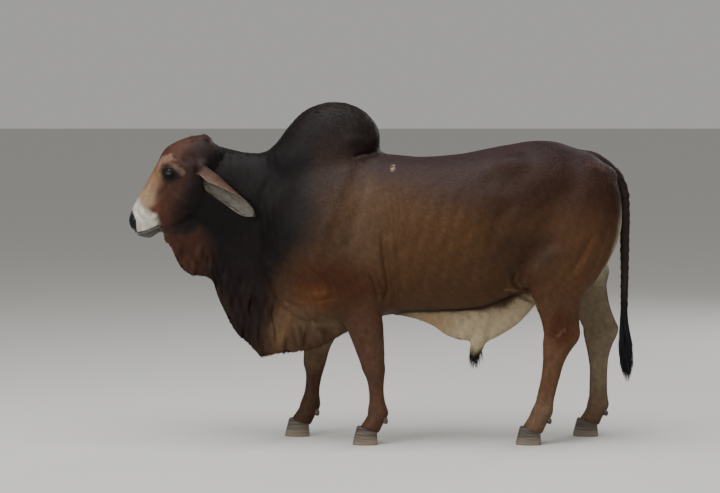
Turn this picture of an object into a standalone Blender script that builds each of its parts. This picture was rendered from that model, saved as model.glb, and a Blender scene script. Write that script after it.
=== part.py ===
"""Brahman bull, life size, standing square and still. Metres, +Z up, head towards -X, its left side at -Y.

The flesh is lofted from a few tables of real sizes, fused into one skin, and parted by thin cuts into
head, neck, hump, torso, dewlap, sheath, scrotum, legs and tail. Ears, eyes, hooves and the tail's
switch are made on their own and meet the flesh face to face. The last step moves the origin to the
middle of the animal's box, on the floor.
"""

import math
import random

import bmesh
import bpy
import numpy as np
from mathutils import Matrix, Vector

GAP = 0.0003
CUTTER_SPAN = 0.6
TRUNK_VOXEL, TRUNK_SMOOTHING = 0.018, 22
BODY_VOXEL, BODY_SMOOTHING = 0.012, 6
HEAD_VOXEL, HEAD_SMOOTHING = 0.0055, 24
BODY_TRIANGLES = 5800
HEAD_TRIANGLES = 2900

# Trunk, seen from the side: x, top, bottom, half width, height of the widest place as a share.
TRUNK = (
    (-0.61, 1.30, 0.84, 0.110, 0.45),
    (-0.55, 1.36, 0.72, 0.170, 0.42),
    (-0.45, 1.40, 0.62, 0.225, 0.42),
    (-0.30, 1.42, 0.590, 0.265, 0.42),
    (-0.15, 1.430, 0.600, 0.290, 0.42),
    (0.00, 1.437, 0.625, 0.315, 0.42),
    (0.20, 1.425, 0.645, 0.345, 0.43),
    (0.38, 1.437, 0.648, 0.355, 0.44),
    (0.52, 1.463, 0.662, 0.345, 0.46),
    (0.66, 1.490, 0.725, 0.325, 0.50),
    (0.78, 1.508, 0.785, 0.310, 0.58),
    (0.86, 1.500, 0.800, 0.295, 0.60),
    (0.98, 1.462, 0.830, 0.260, 0.58),
    (1.08, 1.425, 0.900, 0.190, 0.55),
    (1.145, 1.350, 1.000, 0.105, 0.52),
)
TRUNK_TOP_FULLNESS, TRUNK_BELLY_FULLNESS = 2.15, 2.25

# Neck, the same columns, running from inside the skull to inside the shoulder.
NECK = (
    (-0.98, 1.445, 1.130, 0.070, 0.55),
    (-0.90, 1.485, 1.060, 0.098, 0.52),
    (-0.82, 1.466, 1.000, 0.116, 0.50),
    (-0.72, 1.446, 0.910, 0.132, 0.50),
    (-0.60, 1.442, 0.790, 0.158, 0.50),
    (-0.48, 1.440, 0.670, 0.190, 0.48),
    (-0.34, 1.430, 0.620, 0.200, 0.46),
)
NECK_FULLNESS = 2.1

# Hump, in level slices: height, front, back, half width, sideways lean.
HUMP = (
    (1.240, -0.560, 0.030, 0.165, 0.000),
    (1.330, -0.600, 0.035, 0.176, 0.000),
    (1.400, -0.610, 0.015, 0.172, 0.000),
    (1.440, -0.585, -0.010, 0.166, 0.000),
    (1.470, -0.548, -0.012, 0.160, 0.002),
    (1.510, -0.515, 0.000, 0.154, 0.005),
    (1.555, -0.485, -0.006, 0.144, 0.008),
    (1.600, -0.450, -0.030, 0.130, 0.012),
    (1.645, -0.400, -0.075, 0.108, 0.016),
    (1.676, -0.345, -0.125, 0.080, 0.019),
    (1.695, -0.280, -0.180, 0.042, 0.021),
)

# Dewlap, in upright slices: x, top inside the neck, lower edge, half thickness at the top, at the edge.
DEWLAP = (
    (-1.090, 1.075, 1.000, 0.030, 0.012),
    (-1.062, 1.090, 0.978, 0.036, 0.013),
    (-1.038, 1.100, 0.925, 0.040, 0.014),
    (-1.007, 1.110, 0.866, 0.045, 0.015),
    (-0.962, 1.130, 0.834, 0.052, 0.016),
    (-0.905, 1.150, 0.823, 0.060, 0.017),
    (-0.870, 1.170, 0.816, 0.072, 0.018),
    (-0.843, 1.180, 0.786, 0.085, 0.018),
    (-0.821, 1.180, 0.718, 0.095, 0.018),
    (-0.788, 1.170, 0.637, 0.105, 0.019),
    (-0.743, 1.150, 0.558, 0.115, 0.020),
    (-0.693, 1.120, 0.505, 0.125, 0.021),
    (-0.648, 1.080, 0.464, 0.135, 0.023),
    (-0.603, 1.050, 0.418, 0.140, 0.024),
    (-0.566, 1.020, 0.422, 0.145, 0.024),
    (-0.520, 0.980, 0.432, 0.150, 0.025),
    (-0.420, 0.900, 0.444, 0.160, 0.026),
    (-0.320, 0.820, 0.466, 0.150, 0.028),
    (-0.230, 0.780, 0.510, 0.130, 0.030),
    (-0.130, 0.760, 0.566, 0.100, 0.034),
    (0.000, 0.760, 0.612, 0.060, 0.034),
)
PLEAT_SPACING, PLEAT_DEPTH = 0.115, 0.013

# Sheath fold under the belly, the same columns as the dewlap.
SHEATH = (
    (0.06, 0.680, 0.626, 0.030, 0.020),
    (0.16, 0.690, 0.612, 0.040, 0.022),
    (0.25, 0.690, 0.578, 0.045, 0.022),
    (0.33, 0.690, 0.525, 0.046, 0.022),
    (0.39, 0.690, 0.503, 0.046, 0.024),
    (0.44, 0.700, 0.496, 0.048, 0.028),
    (0.49, 0.700, 0.470, 0.048, 0.030),
    (0.54, 0.710, 0.500, 0.048, 0.028),
    (0.61, 0.740, 0.535, 0.048, 0.026),
    (0.69, 0.790, 0.590, 0.052, 0.028),
    (0.77, 0.820, 0.680, 0.060, 0.032),
)
# The pendulous tip of the sheath: x, z and radius down to its mouth.
SHEATH_TIP = ((0.515, 0.600, 0.046), (0.492, 0.520, 0.042), (0.472, 0.455, 0.034), (0.460, 0.405, 0.025))

# Scrotum between the thighs: height, half width across, half depth fore and aft.
SCROTUM_X = 0.90
SCROTUM = (
    (0.790, 0.040, 0.045),
    (0.720, 0.042, 0.045),
    (0.660, 0.052, 0.048),
    (0.590, 0.064, 0.056),
    (0.530, 0.066, 0.058),
    (0.480, 0.052, 0.046),
    (0.455, 0.022, 0.020),
)

# Shoulder mass, in level slices: height, front, back, centre from the mid-plane, half width.
SHOULDER = (
    (0.620, -0.260, -0.020, 0.180, 0.070),
    (0.700, -0.390, 0.010, 0.150, 0.135),
    (0.800, -0.520, 0.040, 0.120, 0.180),
    (0.900, -0.600, 0.050, 0.110, 0.205),
    (1.000, -0.620, 0.050, 0.105, 0.212),
    (1.120, -0.590, 0.040, 0.095, 0.208),
    (1.250, -0.520, 0.010, 0.080, 0.180),
    (1.360, -0.440, -0.030, 0.055, 0.140),
    (1.430, -0.380, -0.060, 0.040, 0.110),
)

# Haunch mass, the same columns.
HAUNCH = (
    (0.740, 0.790, 1.060, 0.195, 0.080),
    (0.820, 0.715, 1.120, 0.170, 0.130),
    (0.900, 0.680, 1.155, 0.140, 0.165),
    (1.000, 0.670, 1.182, 0.120, 0.188),
    (1.100, 0.690, 1.196, 0.110, 0.198),
    (1.200, 0.730, 1.196, 0.105, 0.192),
    (1.300, 0.790, 1.172, 0.095, 0.170),
    (1.380, 0.860, 1.120, 0.085, 0.130),
    (1.430, 0.920, 1.050, 0.070, 0.090),
)

# The thigh of the leg that stands forward ends this much further forward at its foot, fading out upwards.
THIGH_SHIFT, THIGH_SHIFT_TOP = 0.055, 1.02

# Bones and muscle that swell the skin: x, distance from the mid-plane, height, then half sizes.
HIP_BONE = (0.650, 0.185, 1.365, 0.130, 0.085, 0.080)
PIN_BONE = (1.120, 0.085, 1.330, 0.060, 0.050, 0.060)
STIFLE = (0.800, 0.225, 0.860, 0.085, 0.075, 0.110)

# Foreleg about its own axis: height, depth in front, depth behind, half width.
FORELEG = (
    (0.730, 0.150, 0.095, 0.080),
    (0.667, 0.140, 0.086, 0.078),
    (0.605, 0.112, 0.086, 0.070),
    (0.540, 0.094, 0.080, 0.061),
    (0.470, 0.078, 0.070, 0.053),
    (0.410, 0.066, 0.060, 0.052),
    (0.370, 0.058, 0.056, 0.055),
    (0.325, 0.043, 0.049, 0.047),
    (0.270, 0.036, 0.043, 0.036),
    (0.215, 0.038, 0.044, 0.037),
    (0.165, 0.050, 0.055, 0.048),
    (0.135, 0.051, 0.056, 0.050),
    (0.095, 0.060, 0.052, 0.053),
    (0.050, 0.070, 0.055, 0.056),
)
# Hind leg about its own axis, the same columns.
HINDLEG = (
    (0.920, 0.150, 0.150, 0.080),
    (0.850, 0.155, 0.165, 0.098),
    (0.766, 0.140, 0.132, 0.085),
    (0.690, 0.112, 0.110, 0.068),
    (0.612, 0.090, 0.103, 0.055),
    (0.555, 0.082, 0.104, 0.049),
    (0.515, 0.078, 0.097, 0.049),
    (0.470, 0.070, 0.074, 0.050),
    (0.410, 0.056, 0.056, 0.043),
    (0.340, 0.046, 0.050, 0.037),
    (0.264, 0.045, 0.048, 0.036),
    (0.205, 0.046, 0.051, 0.038),
    (0.160, 0.056, 0.059, 0.049),
    (0.132, 0.056, 0.058, 0.051),
    (0.092, 0.062, 0.053, 0.053),
    (0.050, 0.072, 0.056, 0.057),
)
# Where each leg's axis runs: height, x, distance from the mid-plane, from the hip or elbow down.
LEGS = {
    "foreleg_left": (FORELEG, -1, (
        (0.73, -0.098, 0.190), (0.37, -0.038, 0.175), (0.15, -0.020, 0.175), (0.05, -0.068, 0.178),
    )),
    "foreleg_right": (FORELEG, 1, (
        (0.73, -0.215, 0.190), (0.45, -0.322, 0.178), (0.36, -0.336, 0.175), (0.15, -0.364, 0.175),
        (0.05, -0.412, 0.178),
    )),
    "hindleg_left": (HINDLEG, -1, (
        (0.92, 0.890, 0.195), (0.77, 0.868, 0.200), (0.54, 0.882, 0.180), (0.15, 0.792, 0.175),
        (0.05, 0.742, 0.178),
    )),
    "hindleg_right": (HINDLEG, 1, (
        (0.92, 0.975, 0.195), (0.77, 1.010, 0.200), (0.55, 1.102, 0.180), (0.15, 1.098, 0.175),
        (0.05, 1.050, 0.178),
    )),
}

# Head, in slices across its own axis: distance from the jaw joint towards the muzzle, rise of the
# profile, drop of the jaw, half width, height of the widest place as a share, top and bottom fullness.
HEAD_HINGE = Vector((-0.8925, 0.0, 1.325))
HEAD_PITCH = math.radians(42)
HEAD = (
    (-0.165, 0.035, 0.000, 0.052, 0.5, 2.0, 2.0),
    (-0.145, 0.114, -0.040, 0.082, 0.5, 2.2, 2.0),
    (-0.125, 0.160, -0.062, 0.096, 0.5, 2.2, 2.0),
    (-0.105, 0.178, -0.080, 0.104, 0.5, 2.3, 2.0),
    (-0.060, 0.202, -0.105, 0.112, 0.5, 2.4, 2.0),
    (-0.010, 0.220, -0.120, 0.115, 0.5, 2.5, 2.0),
    (0.035, 0.229, -0.129, 0.116, 0.5, 2.5, 2.0),
    (0.075, 0.222, -0.136, 0.115, 0.52, 2.5, 2.0),
    (0.115, 0.206, -0.138, 0.111, 0.52, 2.4, 2.0),
    (0.165, 0.189, -0.132, 0.103, 0.50, 2.3, 2.0),
    (0.225, 0.169, -0.117, 0.092, 0.50, 2.2, 2.0),
    (0.285, 0.148, -0.094, 0.083, 0.50, 2.2, 2.1),
    (0.335, 0.130, -0.072, 0.080, 0.50, 2.3, 2.2),
    (0.375, 0.115, -0.057, 0.082, 0.52, 2.4, 2.3),
    (0.402, 0.102, -0.048, 0.081, 0.54, 2.4, 2.4),
    (0.420, 0.087, -0.036, 0.072, 0.56, 2.3, 2.3),
    (0.433, 0.065, -0.018, 0.054, 0.58, 2.2, 2.2),
    (0.440, 0.048, 0.000, 0.028, 0.58, 2.0, 2.0),
)
# Rounded masses on the head: along, up, out, then the half sizes the same way.
ORBIT = (0.104, 0.124, 0.074, 0.074, 0.052, 0.045)
BROW = (0.070, 0.154, 0.054, 0.104, 0.046, 0.046)
CHEEK = (0.080, -0.010, 0.060, 0.150, 0.115, 0.058)
CHIN = (0.368, -0.036, 0.000, 0.050, 0.025, 0.050)
POLL = (-0.111, 0.119, 0.000, 0.046, 0.048, 0.084)
NOSE_WING = (0.392, 0.060, 0.050, 0.036, 0.040, 0.032)
EYE = (0.103, 0.126, 0.1045)
EYE_RADIUS = 0.0205
EYE_SLIT = (0.0205, 0.0135)
NOSTRIL = (0.418, 0.058, 0.049)
NOSTRIL_SIZE = (0.020, 0.020, 0.013)
MOUTH_LINE = ((0.445, 0.012), (0.420, 0.003), (0.390, -0.015), (0.345, -0.034))
MOUTH_DEPTH, MOUTH_WIDTH = 0.015, 0.005

# Ears hang back and down from behind the eyes.
EAR_ROOT = Vector((-0.900, 0.104, 1.372))
EAR_TIP = Vector((-0.632, 0.205, 1.140))
EAR_OUTWARD = Vector((0.28, 0.90, -0.20)).normalized()
EAR_CUT = 0.030
EAR_BASE_RADIUS = 0.042
# How wide and how deep the folded leaf is along its length, and how far it rolls to show its hollow side.
EAR_HALF_WIDTHS = (
    (0.00, 0.026), (0.10, 0.032), (0.22, 0.042), (0.40, 0.050), (0.62, 0.054), (0.80, 0.052), (0.90, 0.043),
    (0.96, 0.031), (1.00, 0.014),
)
EAR_FOLDS = (
    (0.00, 0.000), (0.05, 0.012), (0.13, 0.045), (0.40, 0.078), (0.62, 0.062), (0.80, 0.042), (0.92, 0.024),
    (1.00, 0.006),
)
EAR_ROLL = (math.radians(5), math.radians(58))
EAR_STEPS, EAR_SIDES = 14, 9
EAR_THICKNESS = 0.008

# Tail: x, z and radius along its run in the mid-plane.
TAIL = (
    (0.985, 1.405, 0.055),
    (1.060, 1.395, 0.050),
    (1.120, 1.368, 0.040),
    (1.172, 1.320, 0.031),
    (1.203, 1.255, 0.027),
    (1.214, 1.150, 0.024),
    (1.216, 1.000, 0.021),
    (1.216, 0.850, 0.018),
    (1.215, 0.720, 0.016),
    (1.214, 0.615, 0.015),
)
TAIL_ROOT = (1.150, 1.345, -52)
SWITCH_TOP, SWITCH_TIP, SWITCH_X = 0.640, 0.285, 1.225
SWITCH_LOCKS = 20

HOOF_TILT = math.radians(14)
CORONET = 0.074
TOE_REACH, HEEL_REACH = 0.078, 0.050
CLAW_HALF_WIDTH, CLAW_SPREAD = 0.0265, 0.0285

# Regions of the side view, as outlines of x and z, along whose edges the flesh is parted.
HEAD_REGION = (
    (-1.45, 0.95), (-1.112, 0.95), (-1.104, 1.032), (-0.896, 1.032), (-0.8425, 1.50), (-0.8425, 1.80),
    (-1.45, 1.80),
)
THROAT_REGION = (
    (-1.30, 0.70), (-0.852, 0.70), (-0.852, 1.032), (-1.30, 1.032),
)
HUMP_REGION = (
    (-0.62, 1.46), (-0.45, 1.442), (-0.20, 1.432), (-0.03, 1.442), (0.04, 1.48), (0.04, 1.80),
    (-0.62, 1.80),
)
BRISKET_REGION = (
    (-0.90, 1.00), (-0.852, 1.00), (-0.75, 0.90), (-0.65, 0.80), (-0.55, 0.69), (-0.42, 0.61), (-0.30, 0.572),
    (-0.16, 0.556), (-0.05, 0.54), (-0.05, 0.35), (-0.90, 0.35),
)
NECK_REGION = (
    (-1.30, 1.80), (-0.575, 1.80), (-0.575, 1.45), (-0.50, 0.50), (-1.30, 0.50),
)
SHEATH_REGION = (
    (0.04, 0.628), (0.20, 0.640), (0.40, 0.642), (0.55, 0.668), (0.66, 0.705), (0.78, 0.740),
    (0.815, 0.700), (0.815, 0.30),
    (0.04, 0.30),
)
SCROTUM_REGION = ((0.82, 0.740), (1.03, 0.740), (1.03, 0.30), (0.82, 0.30))
LEG_REGIONS = {
    "foreleg_left": ((-0.30, 0.655), (0.03, 0.655), (0.12, -0.05), (-0.30, -0.05)),
    "foreleg_right": ((-0.42, 0.655), (-0.11, 0.655), (-0.20, -0.05), (-0.60, -0.05)),
    "hindleg_left": ((0.70, 0.805), (1.30, 0.885), (1.30, -0.05), (0.55, -0.05), (0.55, 0.20), (0.70, 0.50)),
    "hindleg_right": ((0.70, 0.805), (1.30, 0.885), (1.30, -0.05), (0.55, -0.05), (0.55, 0.20), (0.70, 0.50)),
}
FORELEG_INSIDE, HINDLEG_INSIDE = 0.103, 0.070
BRISKET_HALF, SHEATH_HALF = 0.102, 0.086

COLOURS = {
    "coat": (0.115, 0.045, 0.022),
    "dark coat": (0.030, 0.017, 0.013),
    "pale coat": (0.330, 0.250, 0.170),
    "face coat": (0.190, 0.085, 0.045),
    "horn": (0.035, 0.028, 0.024),
    "eye": (0.012, 0.009, 0.008),
}


def clear_scene():
    for old in list(bpy.data.objects):
        bpy.data.objects.remove(old)


def material(name, roughness):
    """One Principled material for each colour of coat, horn or eye."""
    made = bpy.data.materials.get(name)
    if made is None:
        made = bpy.data.materials.new(name)
        made.use_nodes = True
        shader = made.node_tree.nodes["Principled BSDF"]
        shader.inputs["Base Color"].default_value = (*COLOURS[name], 1.0)
        shader.inputs["Roughness"].default_value = roughness
        shader.inputs["Metallic"].default_value = 0.0
    return made


def mesh_object(name, points, faces):
    mesh = bpy.data.meshes.new(name)
    mesh.from_pydata([tuple(p) for p in points], [], faces)
    mesh.validate()
    made = bpy.data.objects.new(name, mesh)
    bpy.context.scene.collection.objects.link(made)
    return made


def read_smoothly(rows, count):
    """The rows of a table read at even places along its first column, by a cubic curve through them."""
    rows = np.array(rows, float)
    places = rows[:, 0]
    slopes = np.gradient(rows, places, axis=0)
    wanted = np.linspace(places[0], places[-1], count)
    rising = places if places[0] < places[-1] else -places
    sought = wanted if places[0] < places[-1] else -wanted
    k = np.clip(np.searchsorted(rising, sought) - 1, 0, len(places) - 2)
    step = (places[k + 1] - places[k])[:, None]
    u = (wanted - places[k])[:, None] / step
    return (
        (2 * u**3 - 3 * u**2 + 1) * rows[k]
        + (u**3 - 2 * u**2 + u) * step * slopes[k]
        + (-2 * u**3 + 3 * u**2) * rows[k + 1]
        + (u**3 - u**2) * step * slopes[k + 1]
    )


def rounded(angle, fullness):
    """Cosine and sine of a superellipse: 2 is an ellipse, more is squarer."""
    c, s = np.cos(angle), np.sin(angle)
    power = 2 / fullness
    return np.sign(c) * np.abs(c) ** power, np.sign(s) * np.abs(s) ** power


def loft(name, rings):
    """A closed body through rings, an array of stations by points round each."""
    stations, sides, _ = rings.shape
    faces = [
        (i * sides + j, i * sides + (j + 1) % sides, (i + 1) * sides + (j + 1) % sides, (i + 1) * sides + j)
        for i in range(stations - 1)
        for j in range(sides)
    ]
    faces.append(tuple(range(sides))[::-1])
    faces.append(tuple(range((stations - 1) * sides, stations * sides)))
    made = mesh_object(name, rings.reshape(-1, 3), faces)
    turn_outwards(made)
    return made


def turn_outwards(obj):
    shape = bmesh.new()
    shape.from_mesh(obj.data)
    bmesh.ops.recalc_face_normals(shape, faces=shape.faces)
    if shape.calc_volume(signed=True) < 0:
        bmesh.ops.reverse_faces(shape, faces=shape.faces)
    shape.to_mesh(obj.data)
    shape.free()


def upright_rings(rows, count, sides, top_fullness, bottom_fullness):
    """Rings standing across X, from rows of x, top, bottom, half width and widest share."""
    x, top, bottom, half, share = read_smoothly(rows, count).T[:, :, None]
    angle = np.linspace(0, 2 * math.pi, sides, endpoint=False)[None, :]
    upper = np.sin(angle) >= 0
    across, rise = rounded(angle, np.where(upper, top_fullness, bottom_fullness))
    waist = bottom + share * (top - bottom)
    z = waist + rise * np.where(upper, top - waist, waist - bottom)
    return np.stack(np.broadcast_arrays(x, across * half, z), axis=-1)


def level_rings(rows, count, sides, fullness=2.2):
    """Level rings from rows of height, front, back, centre across and half width."""
    z, front, back, centre, half = read_smoothly(rows, count).T[:, :, None]
    angle = np.linspace(0, 2 * math.pi, sides, endpoint=False)[None, :]
    along, across = rounded(angle, fullness)
    x = (front + back) / 2 + along * (back - front) / 2
    return np.stack(np.broadcast_arrays(x, centre + across * half, z), axis=-1)


def fold_rings(rows, count, sides, pleat_depth):
    """Upright rings of a hanging fold of skin, pleated across more and more towards its lower edge."""
    x, top, bottom, thick, edge = read_smoothly(rows, count).T[:, :, None]
    angle = np.linspace(0, 2 * math.pi, sides, endpoint=False)[None, :]
    across, rise = rounded(angle, 2.6)
    drop = (1 - rise) / 2
    half = edge + (thick - edge) * (1 - drop) ** 1.3
    sway = pleat_depth * np.sin(2 * math.pi * (x + 0.25 * (1 - drop)) / PLEAT_SPACING) * drop
    z = top + (bottom - top) * drop
    return np.stack(np.broadcast_arrays(x, across * half + sway, z), axis=-1)


def tube_rings(points, radii, sides, flat=1.0):
    """Rings square to a path, with the given radii, flattened across the path's side by flat."""
    points = np.array(points, float)
    ahead = np.gradient(points, axis=0)
    ahead /= np.linalg.norm(ahead, axis=1)[:, None]
    side = np.cross(ahead, (0.0, 1.0, 0.0))
    thin = np.abs(ahead[:, 1]) > 0.95
    side[thin] = np.cross(ahead[thin], (1.0, 0.0, 0.0))
    side /= np.linalg.norm(side, axis=1)[:, None]
    other = np.cross(side, ahead)
    angle = np.linspace(0, 2 * math.pi, sides, endpoint=False)
    spread = np.array(radii, float)[:, None, None]
    return points[:, None] + spread * (
        np.cos(angle)[None, :, None] * side[:, None] + flat * np.sin(angle)[None, :, None] * other[:, None]
    )


def head_axes():
    """Along the head towards the muzzle, and up through the forehead."""
    along = Vector((-math.cos(HEAD_PITCH), 0, -math.sin(HEAD_PITCH)))
    up = Vector((-math.sin(HEAD_PITCH), 0, math.cos(HEAD_PITCH)))
    return along, up


def on_head(along, up, out=0.0):
    """A place given along the head's axis, up from it, and out from the mid-plane."""
    run, rise = head_axes()
    return HEAD_HINGE + run * along + rise * up + Vector((0, out, 0))


def head_rings(count, sides):
    rows = read_smoothly(HEAD, count)
    s, top, bottom, half, share, over, under = rows.T[:, :, None]
    angle = np.linspace(0, 2 * math.pi, sides, endpoint=False)[None, :]
    upper = np.sin(angle) >= 0
    across, rise = rounded(angle, np.where(upper, over, under))
    waist = bottom + share * (top - bottom)
    t = waist + rise * np.where(upper, top - waist, waist - bottom)
    run, up = (np.array(v) for v in head_axes())
    place = np.array(HEAD_HINGE) + s[..., None] * run + t[..., None] * up
    place[..., 1] += across * half
    return place


def head_lump(name, row, side, segments=24):
    """An ellipsoid on the head, from its place and half sizes along, up and out."""
    along, up, out, a, b, c = row
    bpy.ops.mesh.primitive_uv_sphere_add(segments=segments, ring_count=segments * 2 // 3, radius=1.0)
    made = bpy.context.object
    made.name = name
    run, rise = head_axes()
    across = Vector((0, 1, 0))
    turn = Matrix((run * a, across * c, rise * b)).transposed().to_4x4()
    made.data.transform(Matrix.Translation(on_head(along, up, out * side)) @ turn)
    turn_outwards(made)
    return made


def leg_rings(name, count=40, sides=20):
    """Level rings of one leg, its depths taken from the leg's table about its own bent axis."""
    shape, side, axis = LEGS[name]
    z, before, behind, half = read_smoothly(shape, count).T
    run = np.array(axis)[::-1]
    x = np.interp(z, run[:, 0], run[:, 1])
    y = side * np.interp(z, run[:, 0], run[:, 2])
    rows = np.stack([z, x - before, x + behind, y, half], axis=1)
    return level_rings(rows, count, sides)


def mirrored(rows, side):
    return [(z, front, back, side * centre, half) for z, front, back, centre, half in rows]


def joined(name, pieces):
    """Closed pieces gathered in one object, still overlapping."""
    shape = bmesh.new()
    for piece in pieces:
        shape.from_mesh(piece.data)
        bpy.data.objects.remove(piece)
    mesh = bpy.data.meshes.new(name)
    shape.to_mesh(mesh)
    shape.free()
    made = bpy.data.objects.new(name, mesh)
    bpy.context.scene.collection.objects.link(made)
    return made


def apply_modifiers(obj):
    graph = bpy.context.evaluated_depsgraph_get()
    mesh = bpy.data.meshes.new_from_object(obj.evaluated_get(graph))
    obj.modifiers.clear()
    obj.data = mesh


def fuse(obj, voxel, smoothing):
    """Overlapping pieces made one skin, with the creases between them filled out."""
    remesh = obj.modifiers.new("fuse", "REMESH")
    remesh.mode = "VOXEL"
    remesh.voxel_size = voxel
    smooth = obj.modifiers.new("fill", "SMOOTH")
    smooth.factor = 0.5
    smooth.iterations = smoothing
    apply_modifiers(obj)


def thin_out(obj, triangles):
    """Fewer triangles, most kept where the form bends."""
    count = sum(len(face.vertices) - 2 for face in obj.data.polygons)
    decimate = obj.modifiers.new("thin", "DECIMATE")
    decimate.ratio = min(1.0, triangles / count)
    decimate.use_collapse_triangulate = True
    apply_modifiers(obj)


def boolean(obj, other, operation, solver="EXACT"):
    modifier = obj.modifiers.new("cut", "BOOLEAN")
    modifier.operation = operation
    modifier.object = other
    modifier.solver = solver
    apply_modifiers(obj)


def keep_largest(obj):
    """Drops every closed surface but the largest, following faces from edge to edge."""
    shape = bmesh.new()
    shape.from_mesh(obj.data)
    bmesh.ops.remove_doubles(shape, verts=shape.verts, dist=1e-6)
    left = set(shape.faces)
    groups = []
    while left:
        group, waiting = set(), [left.pop()]
        while waiting:
            face = waiting.pop()
            group.add(face)
            for edge in face.edges:
                for near in edge.link_faces:
                    if near in left:
                        left.discard(near)
                        waiting.append(near)
        groups.append(group)
    largest = max(groups, key=len)
    bmesh.ops.delete(shape, geom=[face for face in shape.faces if face not in largest], context="FACES")
    shape.to_mesh(obj.data)
    shape.free()


def side_prism(name, outline, low_y, high_y, grow=0.0):
    """A region drawn as an outline in the side view, given as x and z, between two widths."""
    outline = [Vector(p) for p in outline]
    area = sum(a.x * b.y - b.x * a.y for a, b in zip(outline, outline[1:] + outline[:1]))
    if area < 0:
        outline.reverse()
    grown = []
    for before, here, after in zip(outline[-1:] + outline[:-1], outline, outline[1:] + outline[:1]):
        first, second = (here - before).normalized(), (after - here).normalized()
        normal = Vector((first.y + second.y, -first.x - second.x)).normalized()
        lean = max(0.3, normal.dot(Vector((first.y, -first.x))))
        grown.append(here + normal * (grow / lean))
    sides = len(grown)
    points = [(p.x, low_y - grow, p.y) for p in grown] + [(p.x, high_y + grow, p.y) for p in grown]
    faces = [(i, (i + 1) % sides, sides + (i + 1) % sides, sides + i) for i in range(sides)]
    faces += [tuple(range(sides))[::-1], tuple(range(sides, 2 * sides))]
    made = mesh_object(name, points, faces)
    turn_outwards(made)
    return made


def part_off(body, name, outline, low_y=-CUTTER_SPAN, high_y=CUTTER_SPAN):
    """Cuts the flesh inside a region off the body as its own object, leaving the gap between them."""
    piece = bpy.data.objects.new(name, body.data.copy())
    bpy.context.scene.collection.objects.link(piece)
    inner = side_prism("inner region", outline, low_y, high_y)
    outer = side_prism("outer region", outline, low_y, high_y, grow=GAP)
    boolean(piece, inner, "INTERSECT")
    boolean(body, outer, "DIFFERENCE")
    for cutter in (inner, outer):
        bpy.data.objects.remove(cutter)
    keep_largest(piece)
    keep_largest(body)
    return piece


def cut_away(obj, outline, low_y=-CUTTER_SPAN, high_y=CUTTER_SPAN):
    """Removes the flesh inside a region and keeps the rest."""
    cutter = side_prism("cutter", outline, low_y, high_y)
    boolean(obj, cutter, "DIFFERENCE")
    bpy.data.objects.remove(cutter)
    keep_largest(obj)


def copied(obj, name):
    made = bpy.data.objects.new(name, obj.data.copy())
    bpy.context.scene.collection.objects.link(made)
    return made


def trunk_flesh():
    """Trunk, neck, hump, shoulders and haunches, blended widely into one skin."""
    pieces = [
        loft("trunk", upright_rings(TRUNK, 60, 40, TRUNK_TOP_FULLNESS, TRUNK_BELLY_FULLNESS)),
        loft("neck", upright_rings(NECK, 40, 32, NECK_FULLNESS, NECK_FULLNESS)),
    ]
    z, front, back, half, lean = np.array(HUMP).T
    pieces.append(loft("hump", level_rings(np.stack([z, front, back, lean, half], axis=1), 24, 28)))
    for side in (-1, 1):
        pieces.append(loft("shoulder", level_rings(mirrored(SHOULDER, side), 24, 24, 2.0)))
        haunch = np.array(mirrored(HAUNCH, side))
        if side < 0:
            haunch[:, 2] -= THIGH_SHIFT * np.clip((THIGH_SHIFT_TOP - haunch[:, 0]) / 0.24, 0, 1)
        pieces.append(loft("haunch", level_rings(haunch, 24, 24, 2.0)))
        pieces += [body_lump(row, side) for row in (HIP_BONE, PIN_BONE, STIFLE)]
    pieces += [loft(name, leg_rings(name)) for name in LEGS]
    trunk = joined("trunk", pieces)
    fuse(trunk, TRUNK_VOXEL, TRUNK_SMOOTHING)
    return trunk


def body_lump(row, side):
    """An ellipsoid of bone or muscle under the skin, from its place and half sizes."""
    x, y, z, a, b, c = row
    bpy.ops.mesh.primitive_uv_sphere_add(segments=20, ring_count=12, radius=1.0)
    made = bpy.context.object
    made.data.transform(Matrix.Translation((x, y * side, z)) @ Matrix.Diagonal((a, b, c, 1.0)))
    return made


def dewlap_flesh(rows=DEWLAP):
    return loft("dewlap", fold_rings(rows, 6 * len(rows), 28, PLEAT_DEPTH))


def limb_flesh():
    """The fold of the sheath, the scrotum and the four legs."""
    pieces = [loft("sheath", fold_rings(SHEATH, 40, 24, 0.003))]
    tip = np.array(SHEATH_TIP)
    path = np.stack([tip[:, 0], 0 * tip[:, 0], tip[:, 1]], axis=1)
    pieces.append(loft("sheath tip", tube_rings(path, tip[:, 2], 16)))
    z, half, depth = np.array(SCROTUM).T
    rows = np.stack([z, SCROTUM_X - depth, SCROTUM_X + depth, 0 * z, half], axis=1)
    pieces.append(loft("scrotum", level_rings(rows, 18, 20)))
    pieces += [loft(name, leg_rings(name)) for name in LEGS]
    return pieces


def tail_path(count):
    """The tail's middle line and radius, read evenly along its length."""
    rows = np.array(TAIL)
    length = np.concatenate([[0], np.cumsum(np.hypot(np.diff(rows[:, 0]), np.diff(rows[:, 1])))])
    read = read_smoothly(np.column_stack([length, rows]), count)
    return np.stack([read[:, 1], 0 * read[:, 1], read[:, 2]], axis=1), read[:, 3]


def tail_tube(name, grow=0.0):
    path, radii = tail_path(26)
    return loft(name, tube_rings(path, radii + grow, 10))


def ear_base(side):
    bpy.ops.mesh.primitive_uv_sphere_add(segments=20, ring_count=12, radius=EAR_BASE_RADIUS)
    made = bpy.context.object
    out = mirrored_point(EAR_OUTWARD, side)
    turn = out.to_track_quat("Z", "Y").to_matrix().to_4x4() @ Matrix.Diagonal((1.0, 0.9, 1.25, 1.0))
    made.data.transform(Matrix.Translation(mirrored_point(EAR_ROOT, side)) @ turn)
    return made


def mirrored_point(point, side):
    return Vector((point.x, point.y * side, point.z))


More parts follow.
